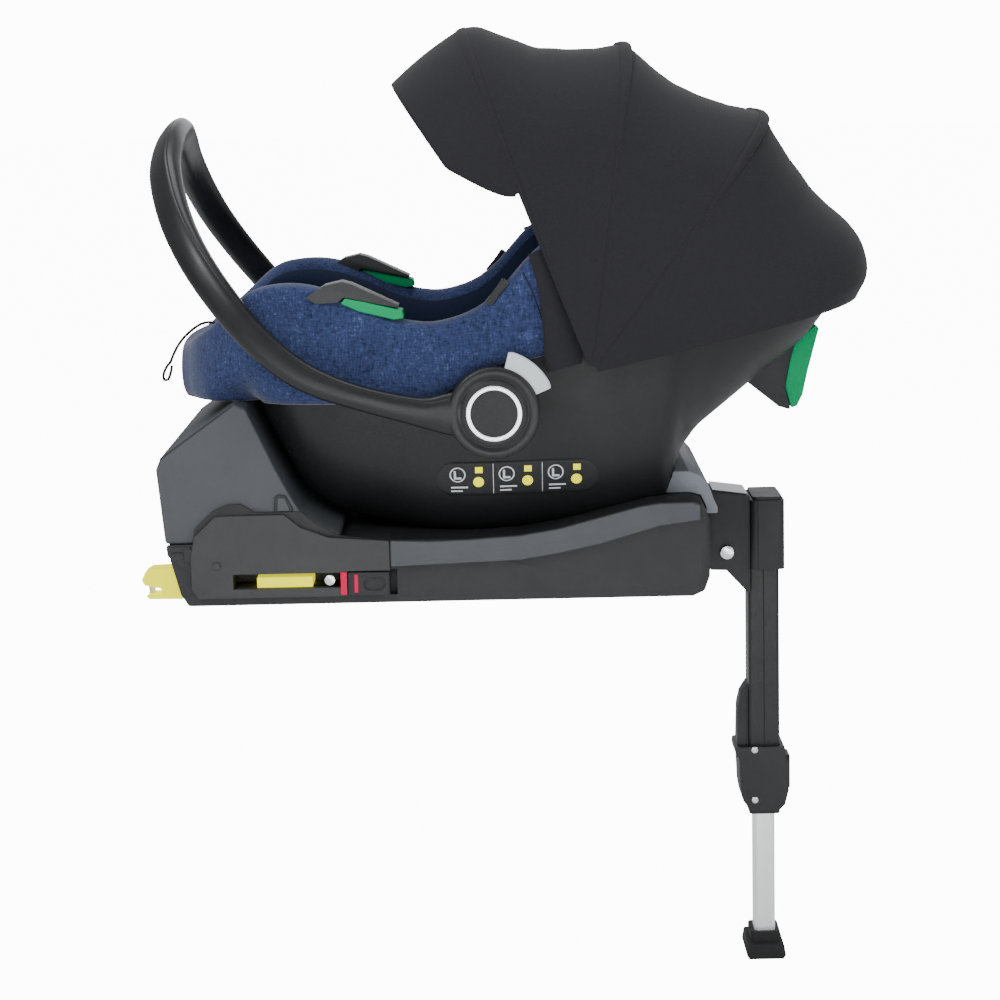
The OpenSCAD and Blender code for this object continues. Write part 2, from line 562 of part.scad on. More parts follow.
// Side skirts that hang from the front bow and fold with it
module canopy_skirt() color([0.12, 0.12, 0.13]) for (side = [near, far]) side_slab(side, 195.4, 197.8)
    polygon([[356, 315], [357.7, 310], [364.5, 283], [368.4, 246], [369.6, 214], [372, 205], [404, 214],
        [406, 232], [398, 262], [374, 321]]);

// ---------- placing ----------

base_lower();
base_end();
side_cover(near);  // side_cover_left
side_cover(far);  // side_cover_right
side_strip(near);  // side_strip_left
side_strip(far);  // side_strip_right
base_front();
leg_tongue();
leg_pivot_pin();
screws();
isofix_arm(near);  // isofix_arm_left
isofix_arm(far);  // isofix_arm_right
isofix_hook(near);  // isofix_hook_left
isofix_hook(far);  // isofix_hook_right
isofix_release(near);  // isofix_release_left
isofix_release(far);  // isofix_release_right
seat_release_button();
leg_ears();
leg_cap();
leg_tube();
leg_clamp();
leg_button();
leg_inner_tube();
leg_foot();
shell();
seat_liner();
seat_side(near);  // seat_side_left
seat_side(far);  // seat_side_right
cover();
seat_pad();
headrest();
pivot_bosses();
canopy_skirt();
belt_guide(near);  // belt_guide_left
belt_guide(far);  // belt_guide_right
belt_insert(near);  // belt_insert_left
belt_insert(far);  // belt_insert_right
rear_guide();
rear_insert();
harness(near);  // harness_left
harness(far);  // harness_right
crotch_strap();
buckle();
buckle_button();
adjuster();
adjuster_button();
pull_strap();
handle();
hub_cap(near);  // hub_cap_left
hub_cap(far);  // hub_cap_right
hub_ring(near);  // hub_ring_left
hub_ring(far);  // hub_ring_right
handle_button(near);  // handle_button_left
handle_button(far);  // handle_button_right
bow(bow_front);  // canopy_bow_front
bow(bow_middle);  // canopy_bow_middle
bow(bow_rear);  // canopy_bow_rear
canopy_visor();
color([0.13, 0.13, 0.14]) fabric(past(bow_front, -1), past(bow_middle, 1));  // canopy_panel_front
color([0.13, 0.13, 0.14]) fabric(past(bow_middle, -1), past(bow_rear, 1));  // canopy_panel_middle
color([0.13, 0.13, 0.14]) fabric(past(bow_rear, -1), rear_edge, 14);  // canopy_panel_rear
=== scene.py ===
"""Infant carrier on an anchor-bar base with a support leg: the looks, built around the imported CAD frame."""
import json
import math

import bmesh
import bpy
import numpy as np
from mathutils import Matrix, Vector, noise

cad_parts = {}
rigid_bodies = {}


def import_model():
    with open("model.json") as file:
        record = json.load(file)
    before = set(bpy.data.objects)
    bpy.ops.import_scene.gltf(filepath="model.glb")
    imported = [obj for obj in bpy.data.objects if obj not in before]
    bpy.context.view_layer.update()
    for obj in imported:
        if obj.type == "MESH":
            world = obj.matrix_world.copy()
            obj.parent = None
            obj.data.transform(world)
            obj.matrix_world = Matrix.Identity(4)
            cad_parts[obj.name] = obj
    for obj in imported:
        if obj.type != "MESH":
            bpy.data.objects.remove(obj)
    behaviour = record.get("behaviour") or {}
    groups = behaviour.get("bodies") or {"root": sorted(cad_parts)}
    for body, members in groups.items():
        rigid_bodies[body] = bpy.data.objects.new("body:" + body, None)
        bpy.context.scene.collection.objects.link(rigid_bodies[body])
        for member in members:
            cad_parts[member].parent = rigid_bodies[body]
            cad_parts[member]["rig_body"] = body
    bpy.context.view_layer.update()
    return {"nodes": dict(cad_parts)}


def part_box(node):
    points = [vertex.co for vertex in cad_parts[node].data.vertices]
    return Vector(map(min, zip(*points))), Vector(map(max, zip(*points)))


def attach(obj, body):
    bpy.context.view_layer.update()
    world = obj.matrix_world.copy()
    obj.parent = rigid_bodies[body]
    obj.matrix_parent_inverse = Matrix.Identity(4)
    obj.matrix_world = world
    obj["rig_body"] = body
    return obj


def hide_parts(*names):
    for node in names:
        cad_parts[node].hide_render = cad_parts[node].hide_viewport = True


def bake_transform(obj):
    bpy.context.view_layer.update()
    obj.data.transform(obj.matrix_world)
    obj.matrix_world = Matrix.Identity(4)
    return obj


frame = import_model()
scene = bpy.context.scene
MM = 0.001
SIDES = ((-1, "left"), (1, "right"))  # sign of Y and name, the side near the camera first

# ---------- camera, floor and light ----------

CAMERA_AT = Vector((0.32694, -2.70151, 0.49550))
CAMERA_PITCH = math.radians(9.235)
CAMERA_YAW = math.radians(0.167)
CAMERA_ROLL = math.radians(1.2)
CAMERA_LENS = 98.5
BACKDROP_GLOW, FLOOR_GLOW = 13.0, 12.0  # what the camera sees; neither lights the object


def make_camera():
    data = bpy.data.cameras.new("camera")
    data.lens = CAMERA_LENS
    data.sensor_width = 36.0
    camera = bpy.data.objects.new("camera", data)
    scene.collection.objects.link(camera)
    aim = Matrix.Rotation(-CAMERA_YAW, 3, "Z") @ Matrix.Rotation(math.pi / 2 - CAMERA_PITCH, 3, "X")
    roll = Matrix.Rotation(CAMERA_ROLL, 3, "Y")
    camera.matrix_world = Matrix.Translation(CAMERA_AT) @ (roll @ aim).to_4x4()
    scene.camera = camera


def area_light(name, at, aim, size, power):
    data = bpy.data.lights.new(name, "AREA")
    data.shape = "RECTANGLE"
    data.size, data.size_y = size
    data.energy = power
    light = bpy.data.objects.new(name, data)
    light.location = at
    light.rotation_euler = (Vector(aim) - Vector(at)).to_track_quat("-Z", "Y").to_euler()
    scene.collection.objects.link(light)


def floor_material():
    """White floor that the camera sees as bright as the backdrop."""
    s = Shader("floor_white", (0.9, 0.9, 0.9), 0.9, specular=0.0)
    path = s.add("ShaderNodeLightPath")
    glow = s.add("ShaderNodeMath")
    glow.operation = "MULTIPLY"
    glow.inputs[1].default_value = FLOOR_GLOW
    s.link(path.outputs["Is Camera Ray"], glow.inputs[0])
    s.bsdf.inputs["Emission Color"].default_value = (1, 1, 1, 1)
    s.link(glow.outputs[0], s.bsdf.inputs["Emission Strength"])
    return s.material


def make_floor():
    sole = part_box("leg_foot")[0].z
    mesh = bpy.data.meshes.new("floor")
    half = 30
    mesh.from_pydata([(-half, -half, sole), (half, -half, sole), (half, half, sole), (-half, half, sole)], [],
                     [(0, 1, 2, 3)])
    floor = bpy.data.objects.new("floor", mesh)
    scene.collection.objects.link(floor)
    floor.data.materials.append(floor_material())


def make_world():
    """White backdrop for the camera, and a much weaker sky for everything else."""
    world = bpy.data.worlds.new("studio")
    world.use_nodes = True
    tree = world.node_tree
    seen = tree.nodes["Background"]
    seen.inputs["Color"].default_value = (1, 1, 1, 1)
    seen.inputs["Strength"].default_value = BACKDROP_GLOW
    lit = tree.nodes.new("ShaderNodeBackground")
    lit.inputs["Color"].default_value = (0.95, 0.97, 1, 1)
    lit.inputs["Strength"].default_value = 0.42
    path = tree.nodes.new("ShaderNodeLightPath")
    either = tree.nodes.new("ShaderNodeMixShader")
    tree.links.new(path.outputs["Is Camera Ray"], either.inputs[0])
    tree.links.new(lit.outputs[0], either.inputs[1])
    tree.links.new(seen.outputs[0], either.inputs[2])
    tree.links.new(either.outputs[0], tree.nodes["World Output"].inputs["Surface"])
    scene.world = world


def make_lights():
    area_light("key", (-1.4, -2.4, 2.4), (0.3, 0, 0.15), (1.2, 1.2), 46)
    area_light("fill", (2.6, -1.9, 1.4), (0.35, 0, 0.1), (1.4, 1.4), 20)
    area_light("top", (0.3, 0.3, 3.0), (0.3, 0, 0.2), (2.4, 1.6), 46)
    area_light("back", (0.4, 2.6, 1.2), (0.3, 0, 0.2), (2.0, 1.2), 14)
    area_light("low", (0.3, -2.3, -0.1), (0.3, 0, 0.08), (2.4, 0.4), 13)


# ---------- materials ----------

class Shader:
    """A Principled material with short calls for the nodes that this object needs."""

    def __init__(self, name, color, rough, metallic=0.0, sheen=0.0, specular=0.5):
        self.material = bpy.data.materials.new(name)
        self.material.use_nodes = True
        self.tree = self.material.node_tree
        self.bsdf = self.tree.nodes["Principled BSDF"]
        self.bsdf.inputs["Base Color"].default_value = (*color, 1)
        self.bsdf.inputs["Roughness"].default_value = rough
        self.bsdf.inputs["Metallic"].default_value = metallic
        self.bsdf.inputs["Sheen Weight"].default_value = sheen
        self.bsdf.inputs["Sheen Roughness"].default_value = 0.45
        self.bsdf.inputs["Specular IOR Level"].default_value = specular
        self.bump_end = None

    def add(self, kind, **inputs):
        node = self.tree.nodes.new(kind)
        for key, value in inputs.items():
            label = key.replace("_", " ")
            if label in node.inputs:
                node.inputs[label].default_value = value
            else:
                setattr(node, key, value)
        return node

    def link(self, a, b):
        self.tree.links.new(a, b)

    def place(self, stretch=(1, 1, 1), turn=(0, 0, 0)):
        coords = self.add("ShaderNodeTexCoord")
        mapping = self.add("ShaderNodeMapping")
        mapping.inputs["Scale"].default_value = stretch
        mapping.inputs["Rotation"].default_value = turn
        self.link(coords.outputs["Object"], mapping.inputs["Vector"])
        return mapping.outputs["Vector"]

    def noise(self, scale, detail=3, stretch=(1, 1, 1), turn=(0, 0, 0), rough=0.55):
        node = self.add("ShaderNodeTexNoise", Scale=scale, Detail=detail, Roughness=rough)
        self.link(self.place(stretch, turn), node.inputs["Vector"])
        return node.outputs["Fac"]

    def wave(self, scale, turn=(0, 0, 0), distortion=0.0):
        node = self.add("ShaderNodeTexWave", Scale=scale, Distortion=distortion, Detail=1)
        self.link(self.place((1, 1, 1), turn), node.inputs["Vector"])
        return node.outputs["Fac"]

    def cells(self, scale):
        node = self.add("ShaderNodeTexVoronoi", Scale=scale)
        self.link(self.place(), node.inputs["Vector"])
        return node.outputs["Distance"]

    def ramp(self, value, stops):
        node = self.add("ShaderNodeValToRGB")
        elements = node.color_ramp.elements
        while len(elements) < len(stops):
            elements.new(0.5)
        for element, (at, color) in zip(elements, stops):
            element.position = at
            element.color = (*color, 1)
        self.link(value, node.inputs["Fac"])
        return node.outputs["Color"]

    def math(self, kind, a, b):
        node = self.add("ShaderNodeMath")
        node.operation = kind
        for i, value in enumerate((a, b)):
            if isinstance(value, (int, float)):
                node.inputs[i].default_value = value
            else:
                self.link(value, node.inputs[i])
        return node.outputs[0]

    def color(self, value):
        self.link(value, self.bsdf.inputs["Base Color"])

    def roughness(self, value, low, high):
        node = self.add("ShaderNodeMapRange")
        node.inputs["To Min"].default_value = low
        node.inputs["To Max"].default_value = high
        self.link(value, node.inputs["Value"])
        self.link(node.outputs["Result"], self.bsdf.inputs["Roughness"])

    def bump(self, value, strength, depth):
        node = self.add("ShaderNodeBump")
        node.inputs["Strength"].default_value = strength
        node.inputs["Distance"].default_value = depth
        self.link(value, node.inputs["Height"])
        if self.bump_end:
            self.link(self.bump_end, node.inputs["Normal"])
        self.bump_end = node.outputs["Normal"]
        self.link(self.bump_end, self.bsdf.inputs["Normal"])


def shade(color, factor):
    return tuple(min(1, c * factor) for c in color)


def plastic(name, color, rough, grain=900, depth=0.00012, specular=0.45, glow=0.0):
    """Moulded plastic: fine spark-erosion grain, slow tone drift and handling marks in the gloss."""
    s = Shader(name, color, rough, specular=specular)
    # glow paints light onto the part: an emission of its own colour, though the part is no lamp
    s.bsdf.inputs["Emission Color"].default_value = (*color, 1)
    s.bsdf.inputs["Emission Strength"].default_value = glow
    s.color(s.ramp(s.noise(9, 4), [(0.3, shade(color, 0.88)), (0.7, shade(color, 1.12))]))
    s.roughness(s.noise(38, 5), rough - 0.08, rough + 0.10)
    s.bump(s.cells(grain), 0.35, depth)
    s.bump(s.noise(grain * 0.5, 2), 0.25, depth)
    return s.material


def metal(name, color, rough, stretch, depth=0.00004, glow=0.0):
    s = Shader(name, color, rough, metallic=1.0)
    # glow paints light onto the metal: an emission of its own colour, though it is no lamp
    s.bsdf.inputs["Emission Color"].default_value = (*color, 1)
    s.bsdf.inputs["Emission Strength"].default_value = glow
    streaks = s.noise(160, 4, stretch)
    s.color(s.ramp(streaks, [(0.3, shade(color, 0.85)), (0.7, shade(color, 1.1))]))
    s.roughness(streaks, rough - 0.06, rough + 0.12)
    s.bump(streaks, 0.25, depth)
    return s.material


def powder_coat(name, color):
    s = Shader(name, color, 0.42, specular=0.5)
    s.color(s.ramp(s.noise(14, 3), [(0.3, shade(color, 0.85)), (0.7, shade(color, 1.2))]))
    s.roughness(s.noise(60, 3), 0.36, 0.52)
    s.bump(s.noise(1300, 2), 0.4, 0.0001)
    return s.material


def melange(name, dark, middle, light):
    """Heather cloth: short threads of three blues, crossed, over a plain weave."""
    s = Shader(name, middle, 0.92, sheen=0.35, specular=0.2)
    warp = s.noise(620, 4, (1, 1, 0.28), rough=0.7)
    weft = s.noise(620, 4, (0.28, 1, 1), (0, 0.3, 0), rough=0.7)
    threads = s.math("MULTIPLY", s.math("ADD", warp, weft), 0.5)
    clouds = s.noise(26, 4)
    value = s.math("ADD", s.math("MULTIPLY", threads, 0.86), s.math("MULTIPLY", clouds, 0.14))
    s.color(s.ramp(value, [(0.40, dark), (0.48, middle), (0.56, shade(middle, 1.35)), (0.66, light)]))
    s.bump(threads, 0.55, 0.0005)
    s.bump(s.wave(420), 0.12, 0.0002)
    return s.material


def cloth(name, color, weave, sheen, contrast=0.16):
    """Plain woven cloth with crossing threads, and slow variation from handling."""
    s = Shader(name, color, 0.9, sheen=sheen, specular=0.22)
    across = s.wave(weave, (0, 0, 0))
    along = s.wave(weave, (0, math.pi / 2, 0))
    weft = s.math("MULTIPLY", s.math("ADD", across, along), 0.5)
    tone = s.math("ADD", s.math("MULTIPLY", s.noise(700, 3), 0.6), s.math("MULTIPLY", s.noise(7, 4), 0.4))
    s.color(s.ramp(tone, [(0.35, shade(color, 1 - contrast)), (0.65, shade(color, 1 + contrast))]))
    s.bump(weft, 0.25, 0.0003)
    s.bump(s.noise(900, 3), 0.35, 0.0003)
    return s.material


def webbing(name, color):
    s = Shader(name, color, 0.7, sheen=0.3)
    ribs = s.wave(300, (0, 0, math.pi / 2))
    s.color(s.ramp(ribs, [(0.2, shade(color, 0.7)), (0.8, shade(color, 1.25))]))
    s.bump(ribs, 0.6, 0.0005)
    s.bump(s.noise(900, 2), 0.3, 0.0002)
    return s.material


def make_materials():
    return {
        "base_black": plastic("base_black", (0.019, 0.020, 0.022), 0.52),
        "base_grey": plastic("base_grey", (0.072, 0.080, 0.089), 0.55),
        "shell_black": plastic("shell_black", (0.012, 0.0125, 0.0135), 0.5, grain=1100),
        "handle_grey": plastic("handle_grey", (0.012, 0.0135, 0.0145), 0.33, grain=1500, depth=0.00005),
        # painted glow: emission makes the light grey buttons and marks brighter than their lighting
        "button_grey": plastic("button_grey", (0.72, 0.78, 0.82), 0.42, grain=1500, depth=0.00004, glow=0.12),
        # painted glow: strong emission makes the yellow brighter than its lighting
        "yellow_plastic": plastic("yellow_plastic", (0.98, 0.94, 0.0), 0.55, depth=0.00005, specular=0.04,
                                  glow=0.8),
        # painted glow: slight emission brightens the red beyond its lighting
        "red_plastic": plastic("red_plastic", (0.72, 0.004, 0.07), 0.4, depth=0.00004, specular=0.2,
                               glow=0.06),
        "green_plastic": plastic("green_plastic", (0.0, 0.40, 0.14), 0.5, depth=0.00005, specular=0.12),
        "guide_grey": plastic("guide_grey", (0.040, 0.043, 0.043), 0.5),
        "steel": metal("steel", (0.56, 0.57, 0.59), 0.32, (1, 6, 1)),
        "chrome": metal("chrome", (0.78, 0.79, 0.81), 0.16, (1, 1, 1), 0.00001),
        "leg_paint": powder_coat("leg_paint", (0.017, 0.0175, 0.019)),
        # painted glow: emission brightens the aluminium beyond its lighting
        "aluminium": metal("aluminium", (0.93, 0.95, 0.96), 0.36, (8, 8, 0.4), glow=0.3),
        "foot_rubber": plastic("foot_rubber", (0.013, 0.013, 0.014), 0.75, grain=700),
        "cover_fabric": melange("cover_fabric", dark=(0.010, 0.017, 0.048), middle=(0.031, 0.047, 0.128),
                                light=(0.15, 0.19, 0.34)),
        "liner_fabric": cloth("liner_fabric", (0.014, 0.022, 0.056), weave=650, sheen=0.15),
        "canopy_fabric": cloth("canopy_fabric", (0.024, 0.0235, 0.028), weave=560, sheen=0.08, contrast=0.10),
        "webbing": webbing("webbing", (0.014, 0.014, 0.016)),
    }


def paint(piece, slot):
    piece.data.materials.clear()
    piece.data.materials.append(MATERIALS[slot])


# ---------- mesh helpers ----------

def new_piece(name, vertices, faces, slot):
    mesh = bpy.data.meshes.new(name)
    mesh.from_pydata([tuple(v) for v in vertices], [], faces)
    mesh.update()
    piece = bpy.data.objects.new(name, mesh)
    scene.collection.objects.link(piece)
    shade_smooth(piece)
    paint(piece, slot)
    fix_normals(piece)
    return piece


def fix_normals(piece, merge=0.0):
    """Turns all faces outwards, after points closer than merge have become one."""
    bm = bmesh.new()
    bm.from_mesh(piece.data)
    if merge:
        bmesh.ops.remove_doubles(bm, verts=bm.verts, dist=merge)
    bmesh.ops.recalc_face_normals(bm, faces=bm.faces)
    bm.to_mesh(piece.data)
    bm.free()


def shade_smooth(piece):
    piece.data.polygons.foreach_set("use_smooth", [True] * len(piece.data.polygons))


def loft(name, rings, slot, closed=False):
    """Closed rings of points in millimetres joined into one skin, as in the CAD source."""
    m, n = len(rings), len(rings[0])
    vertices = [Vector(p) * MM for ring in rings for p in ring]
    faces = []
    for i in range(m if closed else m - 1):
        k = (i + 1) % m
        for j in range(n):
            l = (j + 1) % n
            faces.append((i * n + j, i * n + l, k * n + l, k * n + j))
    if not closed:
        for e in (0, (m - 1) * n):
            for j in range(n // 2 - 1):
                faces.append((e + j, e + j + 1, e + n - 2 - j, e + n - 1 - j))
    return new_piece(name, vertices, faces, slot)


def modify(piece, kind, **settings):
    modifier = piece.modifiers.new(kind.lower(), kind)
    for key, value in settings.items():
        setattr(modifier, key, value)
    return modifier


def apply_all(piece):
    depsgraph = bpy.context.evaluated_depsgraph_get()
    mesh = bpy.data.meshes.new_from_object(piece.evaluated_get(depsgraph))
    old = piece.data
    piece.modifiers.clear()
    piece.data = mesh
    bpy.data.meshes.remove(old)


def round_edges(piece, width, segments):
    modify(piece, "BEVEL", width=width, segments=segments, limit_method="ANGLE", angle_limit=math.radians(32),
           harden_normals=True)


def bevelled(node, slot, width):
    """A copy of a CAD piece with its edges rounded; it stands for the CAD node."""
    source = frame["nodes"][node]
    piece = bpy.data.objects.new(node + "_piece", source.data.copy())
    scene.collection.objects.link(piece)
    bm = bmesh.new()
    bm.from_mesh(piece.data)
    bmesh.ops.remove_doubles(bm, verts=bm.verts, dist=0.00002)
    bmesh.ops.dissolve_limit(bm, angle_limit=math.radians(1.5), verts=bm.verts, edges=bm.edges)
    bm.to_mesh(piece.data)
    bm.free()
    shade_smooth(piece)
    paint(piece, slot)
    round_edges(piece, width, 3)
    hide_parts(node)
    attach(piece, source["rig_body"])


def inflate(piece, voxel, cap=0.005, frames=20):
    """Blows a closed soft piece up as cloth, keeps each point within cap of its start, and smooths it."""
    modify(piece, "REMESH", mode="VOXEL", voxel_size=voxel)
    apply_all(piece)
    start = np.array([v.co for v in piece.data.vertices])
    cloth_mod = modify(piece, "CLOTH")
    settings = cloth_mod.settings
    settings.use_pressure = True
    settings.uniform_pressure_force = 4.0
    settings.effector_weights.gravity = 0
    settings.shrink_min = -0.02
    settings.quality = 4
    settings.tension_stiffness = 12
    cloth_mod.point_cache.frame_start, cloth_mod.point_cache.frame_end = 1, frames
    for frame_number in range(1, frames + 1):
        scene.frame_set(frame_number)
    apply_all(piece)
    scene.frame_set(1)
    now = np.array([v.co for v in piece.data.vertices])
    move = now - start
    length = np.linalg.norm(move, axis=1, keepdims=True)
    now = start + move * np.minimum(1, cap / np.maximum(length, 1e-9))
    piece.data.vertices.foreach_set("co", now.astype(np.float32).ravel())
    modify(piece, "SMOOTH", factor=0.5, iterations=4)
    modify(piece, "SUBSURF", levels=1, render_levels=1)
    apply_all(piece)
    shade_smooth(piece)
    return piece


def unit(v):
    return v / max(v.length, 1e-9)


def mix(a, b, t):
    return a + (b - a) * t


def signed_power(value, exponent):
    return math.copysign(abs(value) ** exponent, value)


def catmull_rom(a, b, c, d, t):
    square = 2 * a - 5 * b + 4 * c - d
    cube = 3 * b - a - 3 * c + d
    return 0.5 * (2 * b + (c - a) * t + square * t * t + cube * t ** 3)


def spline(points, u):
    """Smooth curve through a list of vectors, at u from 0 to its last index."""
    n = len(points) - 1
    i = min(int(u), n - 1)
    return catmull_rom(points[max(i - 1, 0)], points[i], points[i + 1], points[min(i + 2, n)], u - i)


def tangent(points, u, reach=0.05):
    return unit(spline(points, min(u + reach, len(points) - 1)) - spline(points, max(u - reach, 0)))


def swept(name, points, section, slot, up=(0, 0, 1), steps=6):
    """A flat or shaped section, points in millimetres across and up, swept along a smooth path."""
    path = [Vector(p) for p in points]
    count = (len(path) - 1) * steps
    rings = []
    for k in range(count + 1):
        u = k / steps
        p = spline(path, u)
        t = tangent(path, u)
        side = unit(t.cross(Vector(up)))
        over = side.cross(t)
        rings.append([p + side * x + over * z for x, z in section])
    return loft(name, rings, slot)


def tube_section(r, sides=12):
    angles = [2 * math.pi * k / sides for k in range(sides)]
    return [(r * math.cos(a), r * math.sin(a)) for a in angles]


def strap_section(wide, thick):
    w, t, e = wide / 2, thick / 2, thick / 2
    return [(-w, -t * 0.4), (-w + e, -t), (0, -t), (w - e, -t), (w, -t * 0.4),
            (w, t * 0.4), (w - e, t), (0, t), (-w + e, t), (-w, t * 0.4)]


def lathe(name, profile, at, slot):
    """Turned piece about an axis along Y through at (X, Z). The profile is radius and Y, in millimetres."""
    vertices, faces = [], []
    n, steps = len(profile), 72
    for k in range(steps):
        a = 2 * math.pi * k / steps
        vertices += [Vector((at[0] + r * math.cos(a), y, at[1] + r * math.sin(a))) * MM for r, y in profile]
    for k in range(steps):
        m = (k + 1) % steps
        faces += [(k * n + j, k * n + j + 1, m * n + j + 1, m * n + j) for j in range(n - 1)]
    piece = new_piece(name, vertices, faces, slot)
    fix_normals(piece, merge=1e-6)
    modify(piece, "EDGE_SPLIT", split_angle=math.radians(40))
    return piece


# ---------- the carrier's hull, as in the CAD source (millimetres) ----------

HULL_UNDER = [(30, 192), (40, 186), (60, 184), (82, 184), (92, 178), (103, 154), (118, 121), (133, 92),
              (141, 80), (158, 67), (176, 58), (223, 45), (260, 33), (300, 27), (430, 26), (465, 31),
              (482, 42), (490, 62), (496, 104), (517, 133), (547, 157), (586, 189), (621, 215), (638, 235),
              (650, 256)]
HULL_RIM = [(30, 214), (40, 228), (60, 240), (82, 261), (100, 276), (130, 281), (155, 279), (182, 270),
            (218, 252), (241, 245), (267, 242), (299, 250), (317, 260), (336, 278), (352, 299), (380, 322),
            (430, 334), (500, 336), (586, 328), (620, 316), (648, 300)]
HULL_WIDTH = [(30, 72), (40, 108), (60, 140), (82, 156), (100, 166), (130, 174), (182, 180), (267, 184),
              (352, 186), (430, 184), (500, 175), (586, 150), (620, 130), (648, 104)]
SEAT_FLOOR = [(44, 226), (60, 233), (82, 225), (100, 200), (130, 165), (182, 124), (223, 104), (267, 95),
              (300, 93), (352, 98), (430, 116), (500, 150), (547, 188), (586, 222), (621, 260), (640, 290)]
HEM_LINE = [(30, 180), (60, 182), (235, 182), (272, 187), (300, 203), (328, 216), (365, 223), (430, 240),
            (500, 262), (586, 290), (648, 302)]
HULL_POWER = 3.3
HULL_ENDS = (31, 648)
COVER_ENDS = (33, 646)
SHELL_T = 4
LINING_T = 24


def eased(x, table, span):
    """A table of (x, value) read at x, with its corners rounded over span."""
    xs, zs = zip(*table)
    return float(np.mean(np.interp([x - span, x - span / 2, x, x + span / 2, x + span], xs, zs)))


def under(x):
    return eased(x, HULL_UNDER, 5)


def rim(x):
    return eased(x, HULL_RIM, 10)


def half_width(x):
    return eased(x, HULL_WIDTH, 10)


def floor_z(x):
    """Height of the lining's floor."""
    return min(eased(x, SEAT_FLOOR, 14), rim(x) - 4)


def narrowing(x, z):
    """Share of the hull's half width that is left at height z."""
    d = min(0.98, max(0.0, rim(x) - z) / (rim(x) - under(x)))
    return (1 - d ** HULL_POWER) ** (1 / HULL_POWER)


def hull_curve(x, grow, low):
    """Half a rounded square across the hull at x, grown sideways by grow, with its floor at low."""
    k, steps = 2 / HULL_POWER, 72
    w, h = half_width(x) + grow, rim(x) - low
    points = []
    for i in range(steps + 1):
        a = math.pi * i / steps
        points.append(Vector((x, -w * signed_power(math.cos(a), k), rim(x) - h * abs(math.sin(a)) ** k)))
    return points


def stations(first, last, step):
    count = round((last - first) / step)
    return [first + (last - first) * i / count for i in range(count + 1)]


def make_shell():
    """Thin moulding from rim to rim; its wall thins out where the hull is shallow."""
    rings = []
    for x in stations(*HULL_ENDS, 4):
        low = under(x)
        deep = min(SHELL_T, (rim(x) - low) * 0.35)
        rings.append(hull_curve(x, 0, low) + hull_curve(x, -SHELL_T, low + deep)[::-1])
    shell = loft("shell_moulding", rings, "shell_black")
    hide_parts("shell")
    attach(shell, "carrier")


def make_liner():
    """Padded lining that fills the shell down to the seat's floor."""
    rings = []
    for x in stations(44, 638, 4):
        low = under(x) + SHELL_T + 1
        grow = -SHELL_T - 1
        inner = hull_curve(x, grow - LINING_T, max(floor_z(x), low + 3))
        for p in inner:
            # sewn channels that run along the seat, and soft quilting between them
            across = p.y / (half_width(x) + grow - LINING_T)
            channel = math.exp(-((abs(across) - 0.56) / 0.035) ** 2)
            p.z -= 2.6 * channel
            p.z += 1.2 * noise.noise(Vector((x * 0.02, p.y * 0.03, 0)))
        rings.append(hull_curve(x, grow, low) + inner[::-1])
    liner = loft("seat_lining", rings, "liner_fabric")
    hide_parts("seat_liner", "seat_side_left", "seat_side_right")
    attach(liner, "carrier")


def rim_path(count):
    """The rim as a closed loop of (x, y), rounded across the foot end and the head end."""
    first, last = COVER_ENDS
    xs = [first + (last - first) * (1 - math.cos(math.pi * i / count)) / 2 for i in range(count + 1)]
    near_side = [(x, -half_width(x)) for x in xs]
    far_side = [(x, half_width(x)) for x in reversed(xs)]
    foot_w, head_w = half_width(first), half_width(last)
    head = [(last + 4 * math.sin(math.pi * i / 13), mix(-head_w, head_w, i / 13)) for i in range(1, 13)]
    foot = [(first - 6 * math.sin(math.pi * i / 13), mix(foot_w, -foot_w, i / 13)) for i in range(1, 13)]
    return near_side + head + far_side + foot


def smooth_loop(points, per):
    """Smooth closed curve through the points."""
    n = len(points)
    result = []
    for i in range(n):
        a, b, c, d = (points[(i + k - 1) % n] for k in range(4))
        result += [catmull_rom(a, b, c, d, j / per) for j in range(per)]
    return result


def follows_hull(x):
    """How far the cover's side follows the hull's narrowing: not at the foot end, fully from x = 140 on."""
    return min(1, max(0, (x - 60) / 80))


def make_cover():
    """Padded cover over the rim, from its hem on the shell to its inner edge."""
    loop = rim_path(111)
    n = len(loop)
    rings = []
    for i, (x, y) in enumerate(loop):
        q, o = loop[(i + 2) % n], loop[i - 2]
        along = unit(Vector((q[0] - o[0], q[1] - o[1], 0)))
        out = Vector((along.y, -along.x, 0))
        x_in = min(max(x, COVER_ENDS[0]), COVER_ENDS[1])
        top = rim(x_in)
        hem = min(float(np.interp(x_in, *zip(*HEM_LINE))), top - 14)
        side = min(1, abs(out.y) + 0.12) * follows_hull(x_in)
        soft = 1.3 * noise.noise(Vector((x * 0.017, y * 0.017, 3.1)))
        pucker = 0.8 * noise.noise(Vector((x * 0.075, y * 0.075, 8.2)))
        shape = [(1.0, hem), (4.5, hem - 1.2), (7.2, hem + 3), (8.6 + pucker, mix(hem, top, 0.2)),
                 (9.0 + soft, mix(hem, top, 0.45)), (9.0 + soft, mix(hem, top, 0.75)), (8.2, top + 3),
                 (2, top + 9.5 + soft), (-10, top + 10.5 + soft), (-20, top + 5), (-25.5, top - 5),
                 (-26, top - 9), (-24, top - 9), (-12, top + 2.5), (0.9, top + 1.4),
                 (0.9, mix(hem, top, 0.5))]
        ring = []
        for out_by, z in shape:
            recess = side * half_width(x_in) * (1 - narrowing(x_in, z)) if z < top and out_by > 0 else 0
            ring.append(Vector((x, y, z)) + out * (out_by - recess))
        rings.append(smooth_loop(ring, 3))
    cover = loft("cover_rim", rings, "cover_fabric", closed=True)
    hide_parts("cover")
    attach(cover, "carrier")


# ---------- canopy ----------

